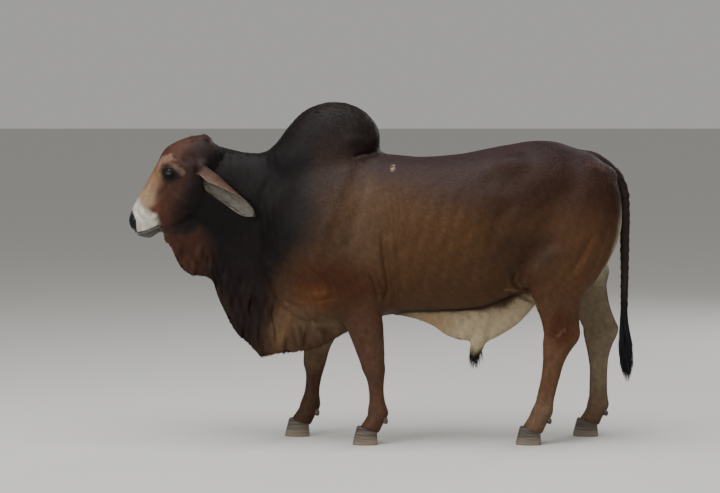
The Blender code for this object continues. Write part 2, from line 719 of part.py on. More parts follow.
def head_flesh():
    pieces = [loft("skull", head_rings(50, 36))]
    for row in (CHIN, POLL):
        pieces.append(head_lump("lump", row, 0))
    for side in (-1, 1):
        for row in (ORBIT, BROW, CHEEK, NOSE_WING):
            pieces.append(head_lump("lump", row, side))
        pieces.append(ear_base(side))
    return pieces


def slab(name, centre, normal, size, thickness):
    """A square block on one side of a plane: its near face lies on the plane."""
    bpy.ops.mesh.primitive_cube_add(size=1.0)
    made = bpy.context.object
    made.name = name
    turn = Vector(normal).to_track_quat("Z", "Y").to_matrix().to_4x4()
    shift = Matrix.Translation((0, 0, thickness / 2))
    shape = Matrix.Diagonal((size, size, thickness, 1))
    made.data.transform(Matrix.Translation(centre) @ turn @ shift @ shape)
    return made


def cut_beyond(obj, centre, normal, size, thickness):
    cutter = slab("cutter", centre, normal, size, thickness)
    boolean(obj, cutter, "DIFFERENCE")
    bpy.data.objects.remove(cutter)
    keep_largest(obj)


def ear(side):
    """A long leaf folded along its length, leaving the head sideways and hanging back and down."""
    out = mirrored_point(EAR_OUTWARD, side)
    first = mirrored_point(EAR_ROOT, side) + out * (EAR_CUT + GAP)
    tip = mirrored_point(EAR_TIP, side)
    drop = (tip - first).normalized()
    corners = (first, first + out * 0.070, tip - drop * 0.17 + Vector((0, side * 0.012, 0.022)), tip)
    even = np.linspace(0.0, 1.0, EAR_STEPS)
    share = even - 0.08 * np.sin(2 * math.pi * even)
    widths = np.interp(share, *np.array(EAR_HALF_WIDTHS).T)
    angle = np.linspace(0, 2 * math.pi, EAR_SIDES * 2, endpoint=False)
    across, lift = np.cos(angle), np.sin(angle)
    rings = []
    for u, half in zip(share, widths):
        a, b, c, d = corners
        centre = a * (1 - u) ** 3 + b * 3 * u * (1 - u) ** 2 + c * 3 * u**2 * (1 - u) + d * u**3
        ahead = ((b - a) * (1 - u) ** 2 + (c - b) * 2 * u * (1 - u) + (d - c) * u**2).normalized()
        sideways = Vector((0, side, 0)) if u > 0.25 else Vector((-(1 - 4 * u), side * 4 * u, 0))
        sideways = (sideways - sideways.dot(ahead) * ahead).normalized()
        upward = sideways.cross(ahead) * side
        if upward.z < 0:
            upward = -upward
        roll = EAR_ROLL[0] + (EAR_ROLL[1] - EAR_ROLL[0]) * u
        over = upward * math.cos(roll) - sideways * math.sin(roll)
        wide = sideways * math.cos(roll) + upward * math.sin(roll)
        fold = float(np.interp(u, *np.array(EAR_FOLDS).T))
        thick = EAR_THICKNESS * (1 - 0.3 * u) + 0.036 * (1 - u) ** 6
        slope = -1.8 * fold / half * np.sign(across) * np.abs(across) ** 0.8
        rim = lift * thick / 2 * np.clip(1.2 - across**4, 0.4, 1) / np.sqrt(1 + slope**2)
        reach = across * half - slope * rim
        bend = fold * (0.30 - np.abs(across) ** 1.8) + rim
        rings.append([tuple(centre + wide * float(v) + over * float(k)) for v, k in zip(reach, bend)])
    return loft("ear_left" if side < 0 else "ear_right", np.array(rings))


def ball(name, centre, radius, segments=16, ring_count=10):
    bpy.ops.mesh.primitive_uv_sphere_add(segments=segments, ring_count=ring_count, radius=radius)
    made = bpy.context.object
    made.name = name
    made.data.transform(Matrix.Translation(centre))
    return made


def mouth_cutter():
    """A thin curved slab along the lips, hollow in the middle so that it cuts only the skin."""
    line = [Vector(p) for p in MOUTH_LINE]
    upper, lower = [], []
    for before, here, after in zip(line[:1] + line[:-1], line, line[1:] + line[-1:]):
        ahead = (after - before).normalized()
        side = Vector((-ahead.y, ahead.x)) * (MOUTH_WIDTH / 2)
        upper.append(here + side)
        lower.append(here - side)
    outline = []
    for p in upper + lower[::-1]:
        place = on_head(p.x, p.y)
        outline.append((place.x, place.z))
    cutter = side_prism("mouth", outline, -0.12, 0.12)
    rings = head_rings(50, 36)
    middle = rings.mean(axis=1, keepdims=True)
    away = rings - middle
    size = np.linalg.norm(away, axis=2, keepdims=True)
    core = loft("core", middle + away * np.clip(1 - MOUTH_DEPTH / size, 0.1, 1))
    boolean(cutter, core, "DIFFERENCE")
    bpy.data.objects.remove(core)
    return cutter


def finished_head(trunk):
    """The head's own finer skin, with its nostrils, mouth and the sockets and lids of the eyes."""
    front = copied(trunk, "front")
    cut_away(front, ((-0.72, 2.0), (1.6, 2.0), (1.6, -0.2), (-0.72, -0.2)))
    head = joined("head", [front, dewlap_flesh(DEWLAP[:8])] + head_flesh())
    fuse(head, HEAD_VOXEL, HEAD_SMOOTHING)
    thin_out(head, HEAD_TRIANGLES)
    region = side_prism("head region", HEAD_REGION, -CUTTER_SPAN, CUTTER_SPAN)
    boolean(head, region, "INTERSECT")
    bpy.data.objects.remove(region)
    keep_largest(head)
    mouth = mouth_cutter()
    boolean(head, mouth, "DIFFERENCE")
    bpy.data.objects.remove(mouth)
    for side in (-1, 1):
        nostril = head_lump("nostril", NOSTRIL + NOSTRIL_SIZE, side, 12)
        slit = head_lump("slit", (EYE[0], EYE[1], EYE[2] + 0.020) + EYE_SLIT + (0.030,), side, 14)
        socket = ball("socket", on_head(EYE[0], EYE[1], EYE[2] * side), EYE_RADIUS + GAP)
        for cutter in (nostril, slit, socket):
            boolean(head, cutter, "DIFFERENCE")
            bpy.data.objects.remove(cutter)
        out = mirrored_point(EAR_OUTWARD, side)
        cut_beyond(head, mirrored_point(EAR_ROOT, side) + out * EAR_CUT, out, 0.085, 0.05)
    keep_largest(head)
    return head


def eye(side):
    return ball("eye_left" if side < 0 else "eye_right", on_head(EYE[0], EYE[1], EYE[2] * side), EYE_RADIUS)


def foot_centre(name):
    shape, side, axis = LEGS[name]
    return axis[-1][1], side * axis[-1][2]


def hoof_claw(name, leg, across):
    """One claw of a hoof: flat sole, sloping wall, and a top tilted like the coronet."""
    x0, y0 = foot_centre(leg)
    angle = np.linspace(0, 2 * math.pi, 18, endpoint=False)
    rings = []
    for level in (0.0, 0.12, 0.55, 1.0):
        toe = TOE_REACH - 0.024 * level - (0.003 if level == 0 else 0)
        heel = HEEL_REACH - 0.006 * level - (0.002 if level == 0 else 0)
        half = CLAW_HALF_WIDTH * (1 - 0.12 * level) - (0.001 if level == 0 else 0)
        along, side = rounded(angle, 2.3)
        x = np.where(along < 0, along * toe, along * heel)
        outer = side * across > 0
        narrowing = np.where(along < 0, 1 - 0.32 * np.abs(along) ** 2, 1 - 0.10 * np.abs(along) ** 2)
        y = side * half * np.where(outer, 1.0, 0.92) * narrowing
        y = y + across * (CLAW_SPREAD * (1 - 0.12 * level) - 0.004 * np.clip(-along, 0, 1))
        top = CORONET - x * math.tan(HOOF_TILT) - GAP
        rings.append(np.stack([x0 + x, y0 + y, level * top], axis=1))
    return loft(name, np.array(rings))


def dewclaw(name, leg, across, grow=0.0):
    x0, y0 = foot_centre(leg)
    shape, side, axis = LEGS[leg]
    run = np.array(axis)[::-1]
    height = 0.122
    x = np.interp(height, run[:, 0], run[:, 1]) + 0.050
    y = side * np.interp(height, run[:, 0], run[:, 2]) + across * 0.023
    bpy.ops.mesh.primitive_uv_sphere_add(segments=10, ring_count=6, radius=1.0)
    made = bpy.context.object
    made.name = name
    turn = Matrix.Rotation(math.radians(-25), 4, "Y")
    size = Matrix.Diagonal((0.014 + grow, 0.0125 + grow, 0.020 + grow, 1.0))
    made.data.transform(Matrix.Translation((x, y, height)) @ turn @ size)
    return made


def finish_leg(leg, name):
    """Cuts the leg along the coronet, adds its two claws, and sets its two dewclaws in pockets."""
    x0, y0 = foot_centre(name)
    down = Vector((-math.sin(HOOF_TILT), 0, -math.cos(HOOF_TILT)))
    cut_beyond(leg, Vector((x0, y0, CORONET)), down, 0.5, 0.25)
    for across, place in ((-1, "outer" if y0 < 0 else "inner"), (1, "inner" if y0 < 0 else "outer")):
        short = name.replace("leg", "")
        hoof_claw(f"hoof_{short}_{place}", name, across)
        claw_name = f"dewclaw_{short}_{place}"
        pocket = dewclaw("pocket", name, across, GAP)
        boolean(leg, pocket, "DIFFERENCE")
        bpy.data.objects.remove(pocket)
        dewclaw(claw_name, name, across)
    keep_largest(leg)


def hair_lock(root, tip, width, bow, twist):
    """A flat tapering lock of hair from root to tip, bowed sideways, as one closed shell."""
    root, tip = np.array(root), np.array(tip)
    run = tip - root
    length = np.linalg.norm(run)
    run = run / length
    flat = np.cross(run, (math.cos(twist), math.sin(twist), 0.0))
    flat /= np.linalg.norm(flat)
    out = np.cross(flat, run)
    rings = []
    for share, wide in ((0.0, 0.45), (0.22, 0.95), (0.50, 1.0), (0.78, 0.62), (1.0, 0.10)):
        centre = root + run * length * share + out * bow * math.sin(math.pi * share)
        half, thick = width * wide, width * (0.20 + 0.25 * wide)
        rings.append([centre + flat * half, centre + out * thick, centre - flat * half, centre - out * thick])
    return loft("lock", np.array(rings))


def add_locks(core, locks):
    for lock in locks:
        boolean(core, lock, "UNION", "MANIFOLD")
        bpy.data.objects.remove(lock)
    keep_largest(core)


def sheath_tuft(sheath):
    """A few short locks of dark hair at the mouth of the sheath."""
    x, z, radius = SHEATH_TIP[-1]
    locks = []
    for number in range(5):
        around = 2 * math.pi * number / 5
        out = Vector((math.cos(around), math.sin(around), 0)) * radius
        root = Vector((x, 0, z + 0.018)) + out * 0.55
        tip = Vector((x - 0.004, 0, z - 0.036 - 0.008 * (number % 3))) + out * 0.35
        locks.append(hair_lock(root, tip, 0.0085, 0.002, around))
    add_locks(sheath, locks)


def tail_switch():
    """Black hair at the end of the tail: a core and locks that lie along it and hang past it."""
    drop = SWITCH_TOP - SWITCH_TIP
    share = np.linspace(0, 1, 9)
    half = np.interp(share, (0, 0.2, 0.45, 0.7, 0.9, 1), (0.0185, 0.026, 0.034, 0.032, 0.018, 0.004))
    x = np.interp(share, (0, 0.126, 0.45, 1), (1.2145, 1.2145, 1.222, 1.233))
    z = SWITCH_TOP - GAP - share * (drop - 0.05)
    path = np.stack([x, 0 * x, z], axis=1)
    core = loft("tail_switch", tube_rings(path, half, 10, 0.85))
    chance = random.Random(11)
    locks = []
    for number in range(SWITCH_LOCKS):
        around = 2.4 * number
        start = 0.10 + 0.62 * number / SWITCH_LOCKS
        end = min(1.0, start + 0.34 + 0.10 * chance.random())
        inner = np.interp(start, share, half) * 0.72
        outer = np.interp(min(end, 0.93), share, half) * (0.95 + 0.25 * chance.random())
        place = []
        for part, reach in ((start, inner), (end, outer * (1.15 - 0.75 * max(0, end - 0.75) * 4 * 0.6))):
            cx = np.interp(part * drop / (drop - 0.05), share, x)
            cz = SWITCH_TOP - part * drop
            place.append((cx + reach * math.cos(around), 0.85 * reach * math.sin(around), cz))
        locks.append(hair_lock(*place, 0.011 + 0.003 * chance.random(), 0.004, around))
    add_locks(core, locks)
    return core


def set_tail(body):
    """The hanging tail, parted from its root, with room left for it between the thighs."""
    x, z, lean = TAIL_ROOT
    down = Vector((math.cos(math.radians(lean)), 0, math.sin(math.radians(lean))))
    tail = tail_tube("tail")
    keep = slab("keep", Vector((x, 0, z)), down, 0.9, 1.5)
    boolean(tail, keep, "INTERSECT")
    bpy.data.objects.remove(keep)
    below = slab("below", Vector((SWITCH_X, 0, SWITCH_TOP + GAP)), (0, 0, -1), 0.4, 0.5)
    boolean(tail, below, "DIFFERENCE")
    bpy.data.objects.remove(below)
    keep_largest(tail)
    cutter = slab("room", Vector((x, 0, z)) - down * GAP, down, 0.075, 0.16)
    boolean(body, cutter, "DIFFERENCE")
    bpy.data.objects.remove(cutter)
    room = tail_tube("room", 0.004)
    keep = slab("keep", Vector((x, 0, z)) - down * GAP, down, 0.9, 1.5)
    boolean(room, keep, "INTERSECT")
    boolean(body, room, "DIFFERENCE")
    bpy.data.objects.remove(keep)
    bpy.data.objects.remove(room)
    keep_largest(body)


def flesh_nodes():
    """The whole animal's flesh, parted into its named pieces."""
    trunk = trunk_flesh()
    head = finished_head(trunk)
    short_tail = tail_tube("tail")
    keep = slab("keep", Vector((TAIL_ROOT[0], 0, TAIL_ROOT[1] - 0.06)), (0, 0, -1), 0.9, 1.5)
    boolean(short_tail, keep, "DIFFERENCE")
    bpy.data.objects.remove(keep)
    body = joined("torso", [trunk, dewlap_flesh(), short_tail] + head_flesh() + limb_flesh())
    fuse(body, BODY_VOXEL, BODY_SMOOTHING)
    thin_out(body, BODY_TRIANGLES)
    bpy.data.objects.remove(part_off(body, "coarse head", HEAD_REGION))
    part_off(body, "dewlap_throat", THROAT_REGION)
    part_off(body, "hump", HUMP_REGION)
    part_off(body, "dewlap_brisket", BRISKET_REGION, -BRISKET_HALF, BRISKET_HALF)
    part_off(body, "neck", NECK_REGION)
    sheath_tuft(part_off(body, "sheath", SHEATH_REGION, -SHEATH_HALF, SHEATH_HALF))
    part_off(body, "scrotum", SCROTUM_REGION, -SHEATH_HALF, SHEATH_HALF)
    for name, region in LEG_REGIONS.items():
        inside = FORELEG_INSIDE if name.startswith("fore") else HINDLEG_INSIDE
        low, high = (-CUTTER_SPAN, -inside) if name.endswith("left") else (inside, CUTTER_SPAN)
        finish_leg(part_off(body, name, region, low, high), name)
    set_tail(body)


def dress():
    """Colours, and the origin moved to the middle of the animal's box on the floor."""
    nodes = [obj for obj in bpy.data.objects if obj.type == "MESH"]
    corners = np.array([vertex.co for obj in nodes for vertex in obj.data.vertices])
    low, high = corners.min(axis=0), corners.max(axis=0)
    shift = Matrix.Translation((-(low[0] + high[0]) / 2, -(low[1] + high[1]) / 2, -low[2]))
    for obj in nodes:
        obj.data.transform(shift)
        obj.data.update()
        obj.data.materials.clear()
        kind = obj.name.split("_")[0]
        paint = {
            "hump": "dark coat",
            "neck": "dark coat",
            "dewlap": "dark coat",
            "head": "face coat",
            "tail": "dark coat",
            "sheath": "pale coat",
            "scrotum": "pale coat",
            "hoof": "horn",
            "dewclaw": "horn",
            "eye": "eye",
        }.get(kind, "coat")
        obj.data.materials.append(material(paint, 0.25 if kind == "eye" else 0.75))


def main():
    clear_scene()
    flesh_nodes()
    for side in (-1, 1):
        ear(side)
        eye(side)
    tail_switch()
    dress()


main()
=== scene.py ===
"""The Brahman bull's coat, skin, eyes, horn and hair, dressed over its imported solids.

The flesh is lofted from the same tables of real sizes as the solids, in metres, and fused into one
skin. Folds, veins, lids and nostrils are pressed into it, and short hair, long hair, ears, eyes and
hooves are set on it. All tables are in the frame they were measured in; the last step of each piece
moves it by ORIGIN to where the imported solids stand.
"""

import math

import bmesh
import bpy
import numpy as np
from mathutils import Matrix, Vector


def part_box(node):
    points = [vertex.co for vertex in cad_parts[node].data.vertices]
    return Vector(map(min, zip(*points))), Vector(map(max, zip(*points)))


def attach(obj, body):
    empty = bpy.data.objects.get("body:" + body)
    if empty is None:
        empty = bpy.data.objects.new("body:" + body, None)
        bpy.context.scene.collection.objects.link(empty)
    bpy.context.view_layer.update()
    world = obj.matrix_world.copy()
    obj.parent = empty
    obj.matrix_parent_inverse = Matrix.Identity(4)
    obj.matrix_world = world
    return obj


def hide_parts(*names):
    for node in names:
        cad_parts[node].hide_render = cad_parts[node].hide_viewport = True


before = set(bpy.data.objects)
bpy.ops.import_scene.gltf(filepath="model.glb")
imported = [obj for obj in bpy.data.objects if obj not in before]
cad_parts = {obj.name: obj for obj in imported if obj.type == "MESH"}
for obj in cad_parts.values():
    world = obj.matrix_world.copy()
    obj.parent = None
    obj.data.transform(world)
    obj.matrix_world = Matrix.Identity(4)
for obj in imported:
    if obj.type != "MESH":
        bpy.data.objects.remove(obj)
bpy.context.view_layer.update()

# Sizes of the voxels and rounds of smoothing that blend the lofts into one skin.
TRUNK_VOXEL, TRUNK_SMOOTHING = 0.018, 22
SKIN_VOXEL, SKIN_SMOOTHING = 0.0055, 20
SKIN_TRIANGLES = 192000
COAT_DEPTH = 0.0022

# Trunk, seen from the side: x, top, bottom, half width, height of the widest place as a share.
TRUNK = (
    (-0.61, 1.30, 0.84, 0.110, 0.45),
    (-0.55, 1.36, 0.72, 0.170, 0.42),
    (-0.45, 1.40, 0.62, 0.225, 0.42),
    (-0.30, 1.42, 0.590, 0.265, 0.42),
    (-0.15, 1.430, 0.600, 0.290, 0.42),
    (0.00, 1.437, 0.625, 0.315, 0.42),
    (0.20, 1.425, 0.645, 0.345, 0.43),
    (0.38, 1.437, 0.648, 0.355, 0.44),
    (0.52, 1.463, 0.662, 0.345, 0.46),
    (0.66, 1.490, 0.725, 0.325, 0.50),
    (0.78, 1.508, 0.785, 0.310, 0.58),
    (0.86, 1.500, 0.800, 0.295, 0.60),
    (0.98, 1.462, 0.830, 0.260, 0.58),
    (1.08, 1.425, 0.900, 0.190, 0.55),
    (1.145, 1.350, 1.000, 0.105, 0.52),
)
NECK = (
    (-0.98, 1.445, 1.130, 0.070, 0.55),
    (-0.90, 1.485, 1.060, 0.098, 0.52),
    (-0.82, 1.482, 1.000, 0.116, 0.50),
    (-0.72, 1.456, 0.910, 0.132, 0.50),
    (-0.60, 1.442, 0.790, 0.158, 0.50),
    (-0.48, 1.440, 0.670, 0.190, 0.48),
    (-0.34, 1.430, 0.620, 0.200, 0.46),
)
# Hump, in level slices: height, front, back, half width, sideways lean.
HUMP = (
    (1.240, -0.560, 0.030, 0.165, 0.000),
    (1.330, -0.600, 0.035, 0.176, 0.000),
    (1.400, -0.610, 0.015, 0.172, 0.000),
    (1.440, -0.585, -0.010, 0.166, 0.000),
    (1.470, -0.548, -0.012, 0.160, 0.002),
    (1.510, -0.515, 0.000, 0.154, 0.005),
    (1.555, -0.485, -0.006, 0.144, 0.008),
    (1.600, -0.450, -0.030, 0.130, 0.012),
    (1.645, -0.400, -0.075, 0.108, 0.016),
    (1.676, -0.345, -0.125, 0.080, 0.019),
    (1.695, -0.280, -0.180, 0.042, 0.021),
)
# Dewlap, in upright slices: x, top inside the neck, lower edge, half thickness at the top, at the edge.
DEWLAP = (
    (-1.090, 1.075, 1.000, 0.030, 0.012),
    (-1.062, 1.090, 0.978, 0.036, 0.013),
    (-1.038, 1.100, 0.925, 0.040, 0.014),
    (-1.007, 1.110, 0.866, 0.045, 0.015),
    (-0.962, 1.130, 0.834, 0.052, 0.016),
    (-0.905, 1.150, 0.823, 0.060, 0.017),
    (-0.870, 1.170, 0.816, 0.072, 0.018),
    (-0.843, 1.180, 0.786, 0.085, 0.018),
    (-0.821, 1.180, 0.718, 0.095, 0.018),
    (-0.788, 1.170, 0.637, 0.105, 0.019),
    (-0.743, 1.150, 0.558, 0.115, 0.020),
    (-0.693, 1.120, 0.505, 0.125, 0.021),
    (-0.648, 1.080, 0.464, 0.135, 0.023),
    (-0.603, 1.050, 0.418, 0.140, 0.024),
    (-0.566, 1.020, 0.422, 0.145, 0.024),
    (-0.520, 0.980, 0.432, 0.150, 0.025),
    (-0.420, 0.900, 0.444, 0.160, 0.026),
    (-0.320, 0.820, 0.466, 0.150, 0.028),
    (-0.230, 0.780, 0.510, 0.130, 0.030),
    (-0.130, 0.760, 0.566, 0.100, 0.034),
    (0.000, 0.760, 0.612, 0.060, 0.034),
)
PLEAT_SPACING, PLEAT_DEPTH, SHEATH_PLEAT_DEPTH = 0.115, 0.013, 0.003
# Where the hanging dewlap leaves the flesh, as x and height.
DEWLAP_TOP = (
    (-1.10, 1.06), (-0.90, 1.03), (-0.80, 0.98), (-0.70, 0.88), (-0.55, 0.74), (-0.42, 0.665),
    (-0.30, 0.61), (-0.16, 0.575), (-0.02, 0.56),
)
# Sheath fold under the belly, the same columns as the dewlap.
SHEATH = (
    (0.06, 0.680, 0.626, 0.030, 0.020),
    (0.16, 0.690, 0.612, 0.040, 0.022),
    (0.25, 0.690, 0.578, 0.045, 0.022),
    (0.33, 0.690, 0.525, 0.046, 0.022),
    (0.39, 0.690, 0.503, 0.046, 0.024),
    (0.44, 0.700, 0.496, 0.048, 0.028),
    (0.49, 0.700, 0.470, 0.048, 0.030),
    (0.54, 0.710, 0.500, 0.048, 0.028),
    (0.61, 0.740, 0.535, 0.048, 0.026),
    (0.69, 0.790, 0.590, 0.052, 0.028),
    (0.77, 0.820, 0.680, 0.060, 0.032),
)
SHEATH_TIP = ((0.515, 0.600, 0.046), (0.492, 0.520, 0.042), (0.472, 0.455, 0.034), (0.460, 0.405, 0.025))
SCROTUM_X = 0.90
SCROTUM = (
    (0.790, 0.040, 0.045),
    (0.720, 0.042, 0.045),
    (0.660, 0.052, 0.048),
    (0.590, 0.064, 0.056),
    (0.530, 0.066, 0.058),
    (0.480, 0.052, 0.046),
    (0.455, 0.022, 0.020),
)
# Shoulder and haunch, in level slices: height, front, back, centre from the mid-plane, half width.
SHOULDER = (
    (0.620, -0.260, -0.020, 0.180, 0.070),
    (0.700, -0.390, 0.010, 0.150, 0.135),
    (0.800, -0.520, 0.040, 0.120, 0.180),
    (0.900, -0.600, 0.050, 0.110, 0.205),
    (1.000, -0.620, 0.050, 0.105, 0.212),
    (1.120, -0.590, 0.040, 0.095, 0.208),
    (1.250, -0.520, 0.010, 0.080, 0.180),
    (1.360, -0.440, -0.030, 0.055, 0.140),
    (1.430, -0.380, -0.060, 0.040, 0.110),
)
HAUNCH = (
    (0.740, 0.790, 1.060, 0.195, 0.080),
    (0.820, 0.715, 1.120, 0.170, 0.130),
    (0.900, 0.680, 1.155, 0.140, 0.165),
    (1.000, 0.670, 1.182, 0.120, 0.188),
    (1.100, 0.690, 1.196, 0.110, 0.198),
    (1.200, 0.730, 1.196, 0.105, 0.192),
    (1.300, 0.790, 1.172, 0.095, 0.170),
    (1.380, 0.860, 1.120, 0.085, 0.130),
    (1.430, 0.920, 1.050, 0.070, 0.090),
)
THIGH_SHIFT, THIGH_SHIFT_TOP = 0.055, 1.02
# Bones and muscle that swell the skin: x, distance from the mid-plane, height, then half sizes.
HIP_BONE = (0.650, 0.185, 1.365, 0.130, 0.085, 0.080)
PIN_BONE = (1.120, 0.085, 1.330, 0.060, 0.050, 0.060)
STIFLE = (0.800, 0.225, 0.860, 0.085, 0.075, 0.110)
# Legs about their own axes: height, depth in front, depth behind, half width.
FORELEG = (
    (0.730, 0.150, 0.095, 0.080),
    (0.667, 0.140, 0.086, 0.078),
    (0.605, 0.112, 0.086, 0.070),
    (0.540, 0.094, 0.080, 0.061),
    (0.470, 0.078, 0.070, 0.053),
    (0.410, 0.066, 0.060, 0.052),
    (0.370, 0.058, 0.056, 0.055),
    (0.325, 0.043, 0.049, 0.047),
    (0.270, 0.036, 0.043, 0.036),
    (0.215, 0.038, 0.044, 0.037),
    (0.165, 0.050, 0.055, 0.048),
    (0.135, 0.051, 0.056, 0.050),
    (0.095, 0.060, 0.052, 0.053),
    (0.050, 0.070, 0.055, 0.056),
)
HINDLEG = (
    (0.920, 0.150, 0.150, 0.080),
    (0.850, 0.155, 0.165, 0.098),
    (0.766, 0.140, 0.132, 0.085),
    (0.690, 0.112, 0.110, 0.068),
    (0.612, 0.090, 0.103, 0.055),
    (0.555, 0.082, 0.104, 0.049),
    (0.515, 0.078, 0.097, 0.049),
    (0.470, 0.070, 0.074, 0.050),
    (0.410, 0.056, 0.056, 0.043),
    (0.340, 0.046, 0.050, 0.037),
    (0.264, 0.045, 0.048, 0.036),
    (0.205, 0.046, 0.051, 0.038),
    (0.160, 0.056, 0.059, 0.049),
    (0.132, 0.056, 0.058, 0.051),
    (0.092, 0.062, 0.053, 0.053),
    (0.050, 0.072, 0.056, 0.057),
)
# Where each leg's axis runs: height, x, distance from the mid-plane, from the top down.
LEGS = {
    "foreleg_left": (FORELEG, -1, ((0.73, -0.098, 0.190), (0.37, -0.038, 0.175), (0.15, -0.020, 0.175),
                                   (0.05, -0.068, 0.178))),
    "foreleg_right": (FORELEG, 1, ((0.73, -0.215, 0.190), (0.45, -0.322, 0.178), (0.36, -0.336, 0.175),
                                   (0.15, -0.364, 0.175), (0.05, -0.412, 0.178))),
    "hindleg_left": (HINDLEG, -1, ((0.92, 0.890, 0.195), (0.77, 0.868, 0.200), (0.54, 0.882, 0.180),
                                   (0.15, 0.792, 0.175), (0.05, 0.742, 0.178))),
    "hindleg_right": (HINDLEG, 1, ((0.92, 0.975, 0.195), (0.77, 1.010, 0.200), (0.55, 1.102, 0.180),
                                   (0.15, 1.098, 0.175), (0.05, 1.050, 0.178))),
}
# Head, in slices across its own axis: distance from the jaw joint towards the muzzle, rise of the
# profile, drop of the jaw, half width, height of the widest place as a share, top and bottom fullness.
HEAD_HINGE = np.array((-0.8925, 0.0, 1.325))
HEAD_PITCH = math.radians(42)
ALONG = np.array((-math.cos(HEAD_PITCH), 0.0, -math.sin(HEAD_PITCH)))
RISE = np.array((-math.sin(HEAD_PITCH), 0.0, math.cos(HEAD_PITCH)))
HEAD = (
    (-0.165, 0.035, 0.000, 0.052, 0.5, 2.0, 2.0),
    (-0.145, 0.114, -0.040, 0.082, 0.5, 2.2, 2.0),
    (-0.125, 0.160, -0.062, 0.096, 0.5, 2.2, 2.0),
    (-0.105, 0.178, -0.080, 0.104, 0.5, 2.3, 2.0),
    (-0.060, 0.202, -0.105, 0.112, 0.5, 2.4, 2.0),
    (-0.010, 0.220, -0.120, 0.115, 0.5, 2.5, 2.0),
    (0.035, 0.229, -0.129, 0.116, 0.5, 2.5, 2.0),
    (0.075, 0.222, -0.136, 0.115, 0.52, 2.5, 2.0),
    (0.115, 0.206, -0.138, 0.111, 0.52, 2.4, 2.0),
    (0.165, 0.189, -0.132, 0.103, 0.50, 2.3, 2.0),
    (0.225, 0.169, -0.117, 0.092, 0.50, 2.2, 2.0),
    (0.285, 0.148, -0.094, 0.083, 0.50, 2.2, 2.1),
    (0.335, 0.130, -0.072, 0.080, 0.50, 2.3, 2.2),
    (0.375, 0.115, -0.057, 0.082, 0.52, 2.4, 2.3),
    (0.402, 0.102, -0.048, 0.081, 0.54, 2.4, 2.4),
    (0.420, 0.087, -0.036, 0.072, 0.56, 2.3, 2.3),
    (0.433, 0.065, -0.018, 0.054, 0.58, 2.2, 2.2),
    (0.440, 0.048, 0.000, 0.028, 0.58, 2.0, 2.0),
)
# Rounded masses on the head: along, up, out, then the half sizes the same way.
ORBIT = (0.104, 0.124, 0.074, 0.074, 0.052, 0.045)
BROW = (0.070, 0.154, 0.054, 0.104, 0.046, 0.046)
CHEEK = (0.080, -0.010, 0.060, 0.150, 0.115, 0.058)
CHIN = (0.368, -0.036, 0.000, 0.050, 0.025, 0.050)
POLL = (-0.111, 0.119, 0.000, 0.046, 0.048, 0.084)
NOSE_WING = (0.392, 0.060, 0.050, 0.036, 0.040, 0.032)
EYE = (0.103, 0.126, 0.1045)
EYE_RADIUS = 0.0205
# The slit between the lids: its turn from the head's axis, half length, half heights above and below.
SLIT_TURN, SLIT_HALF = math.radians(20), 0.0205
UPPER_LID, LOWER_LID = 0.0112, 0.0088
SLIT_WAY = ALONG * math.cos(SLIT_TURN) + RISE * math.sin(SLIT_TURN)
BROW_WAY = RISE * math.cos(SLIT_TURN) - ALONG * math.sin(SLIT_TURN)
NOSTRIL = (0.418, 0.058, 0.049)
NOSTRIL_SIZE = (0.030, 0.0165, 0.0135)
MOUTH_LINE = ((0.450, 0.010), (0.420, 0.003), (0.390, -0.014), (0.360, -0.026), (0.325, -0.036))
# Edges across the face, as rise and distance along the axis: the nose pad's and the white muzzle's.
PAD_EDGE = ((0.000, 0.430), (0.024, 0.416), (0.061, 0.386), (0.105, 0.372))
WHITE_EDGE = ((-0.10, 0.350), (-0.054, 0.345), (0.009, 0.300), (0.106, 0.325))
EAR_ROOT = np.array((-0.900, 0.104, 1.372))
EAR_TIP = np.array((-0.632, 0.205, 1.140))
EAR_OUTWARD = np.array((0.28, 0.90, -0.20)) / np.linalg.norm((0.28, 0.90, -0.20))
EAR_CUT = 0.030
# The mound under each ear: half sizes across, upwards and outwards.
EAR_MOUND = (0.042, 0.038, 0.0525)
EAR_HALF_WIDTHS = (
    (0.00, 0.026), (0.10, 0.032), (0.22, 0.042), (0.40, 0.050), (0.62, 0.054), (0.80, 0.052), (1.00, 0.046),
)
EAR_FOLDS = (
    (0.00, 0.000), (0.05, 0.012), (0.13, 0.045), (0.40, 0.078), (0.62, 0.062), (0.80, 0.042), (0.92, 0.024),
    (1.00, 0.006),
)
EAR_ROLL = (math.radians(5), math.radians(58))
EAR_THICKNESS = 0.008
# Tail: x, z and radius along its run in the mid-plane.
TAIL = (
    (0.985, 1.405, 0.055),
    (1.060, 1.395, 0.050),
    (1.120, 1.368, 0.040),
    (1.172, 1.320, 0.031),
    (1.203, 1.255, 0.027),
    (1.214, 1.150, 0.024),
    (1.216, 1.000, 0.021),
    (1.216, 0.850, 0.018),
    (1.215, 0.720, 0.016),
    (1.214, 0.615, 0.015),
)
# Above the first height the tail is part of the flesh; the hanging tail starts inside it at the second.
TAIL_IN_FLESH, TAIL_TOP = 1.275, 1.355
TAIL_BONE_SPACING = 0.045
SWITCH_TOP, SWITCH_TIP = 0.640, 0.285
# The switch, as pairs with height: radius of its core, half width of its whole, x of its middle.
SWITCH_CORE = ((0.46, 0.012), (0.56, 0.014), (0.66, 0.015))
SWITCH_BODY = ((0.285, 0.006), (0.32, 0.020), (0.38, 0.037), (0.47, 0.041), (0.56, 0.026), (0.66, 0.015))
SWITCH_MIDDLE = ((0.285, 1.233), (0.48, 1.222), (0.60, 1.2145), (0.66, 1.2145))
HOOF_TILT = math.radians(14)
CORONET = 0.074
TOE_REACH, HEEL_REACH = 0.078, 0.050
CLAW_HALF_WIDTH, CLAW_SPREAD = 0.0265, 0.0285
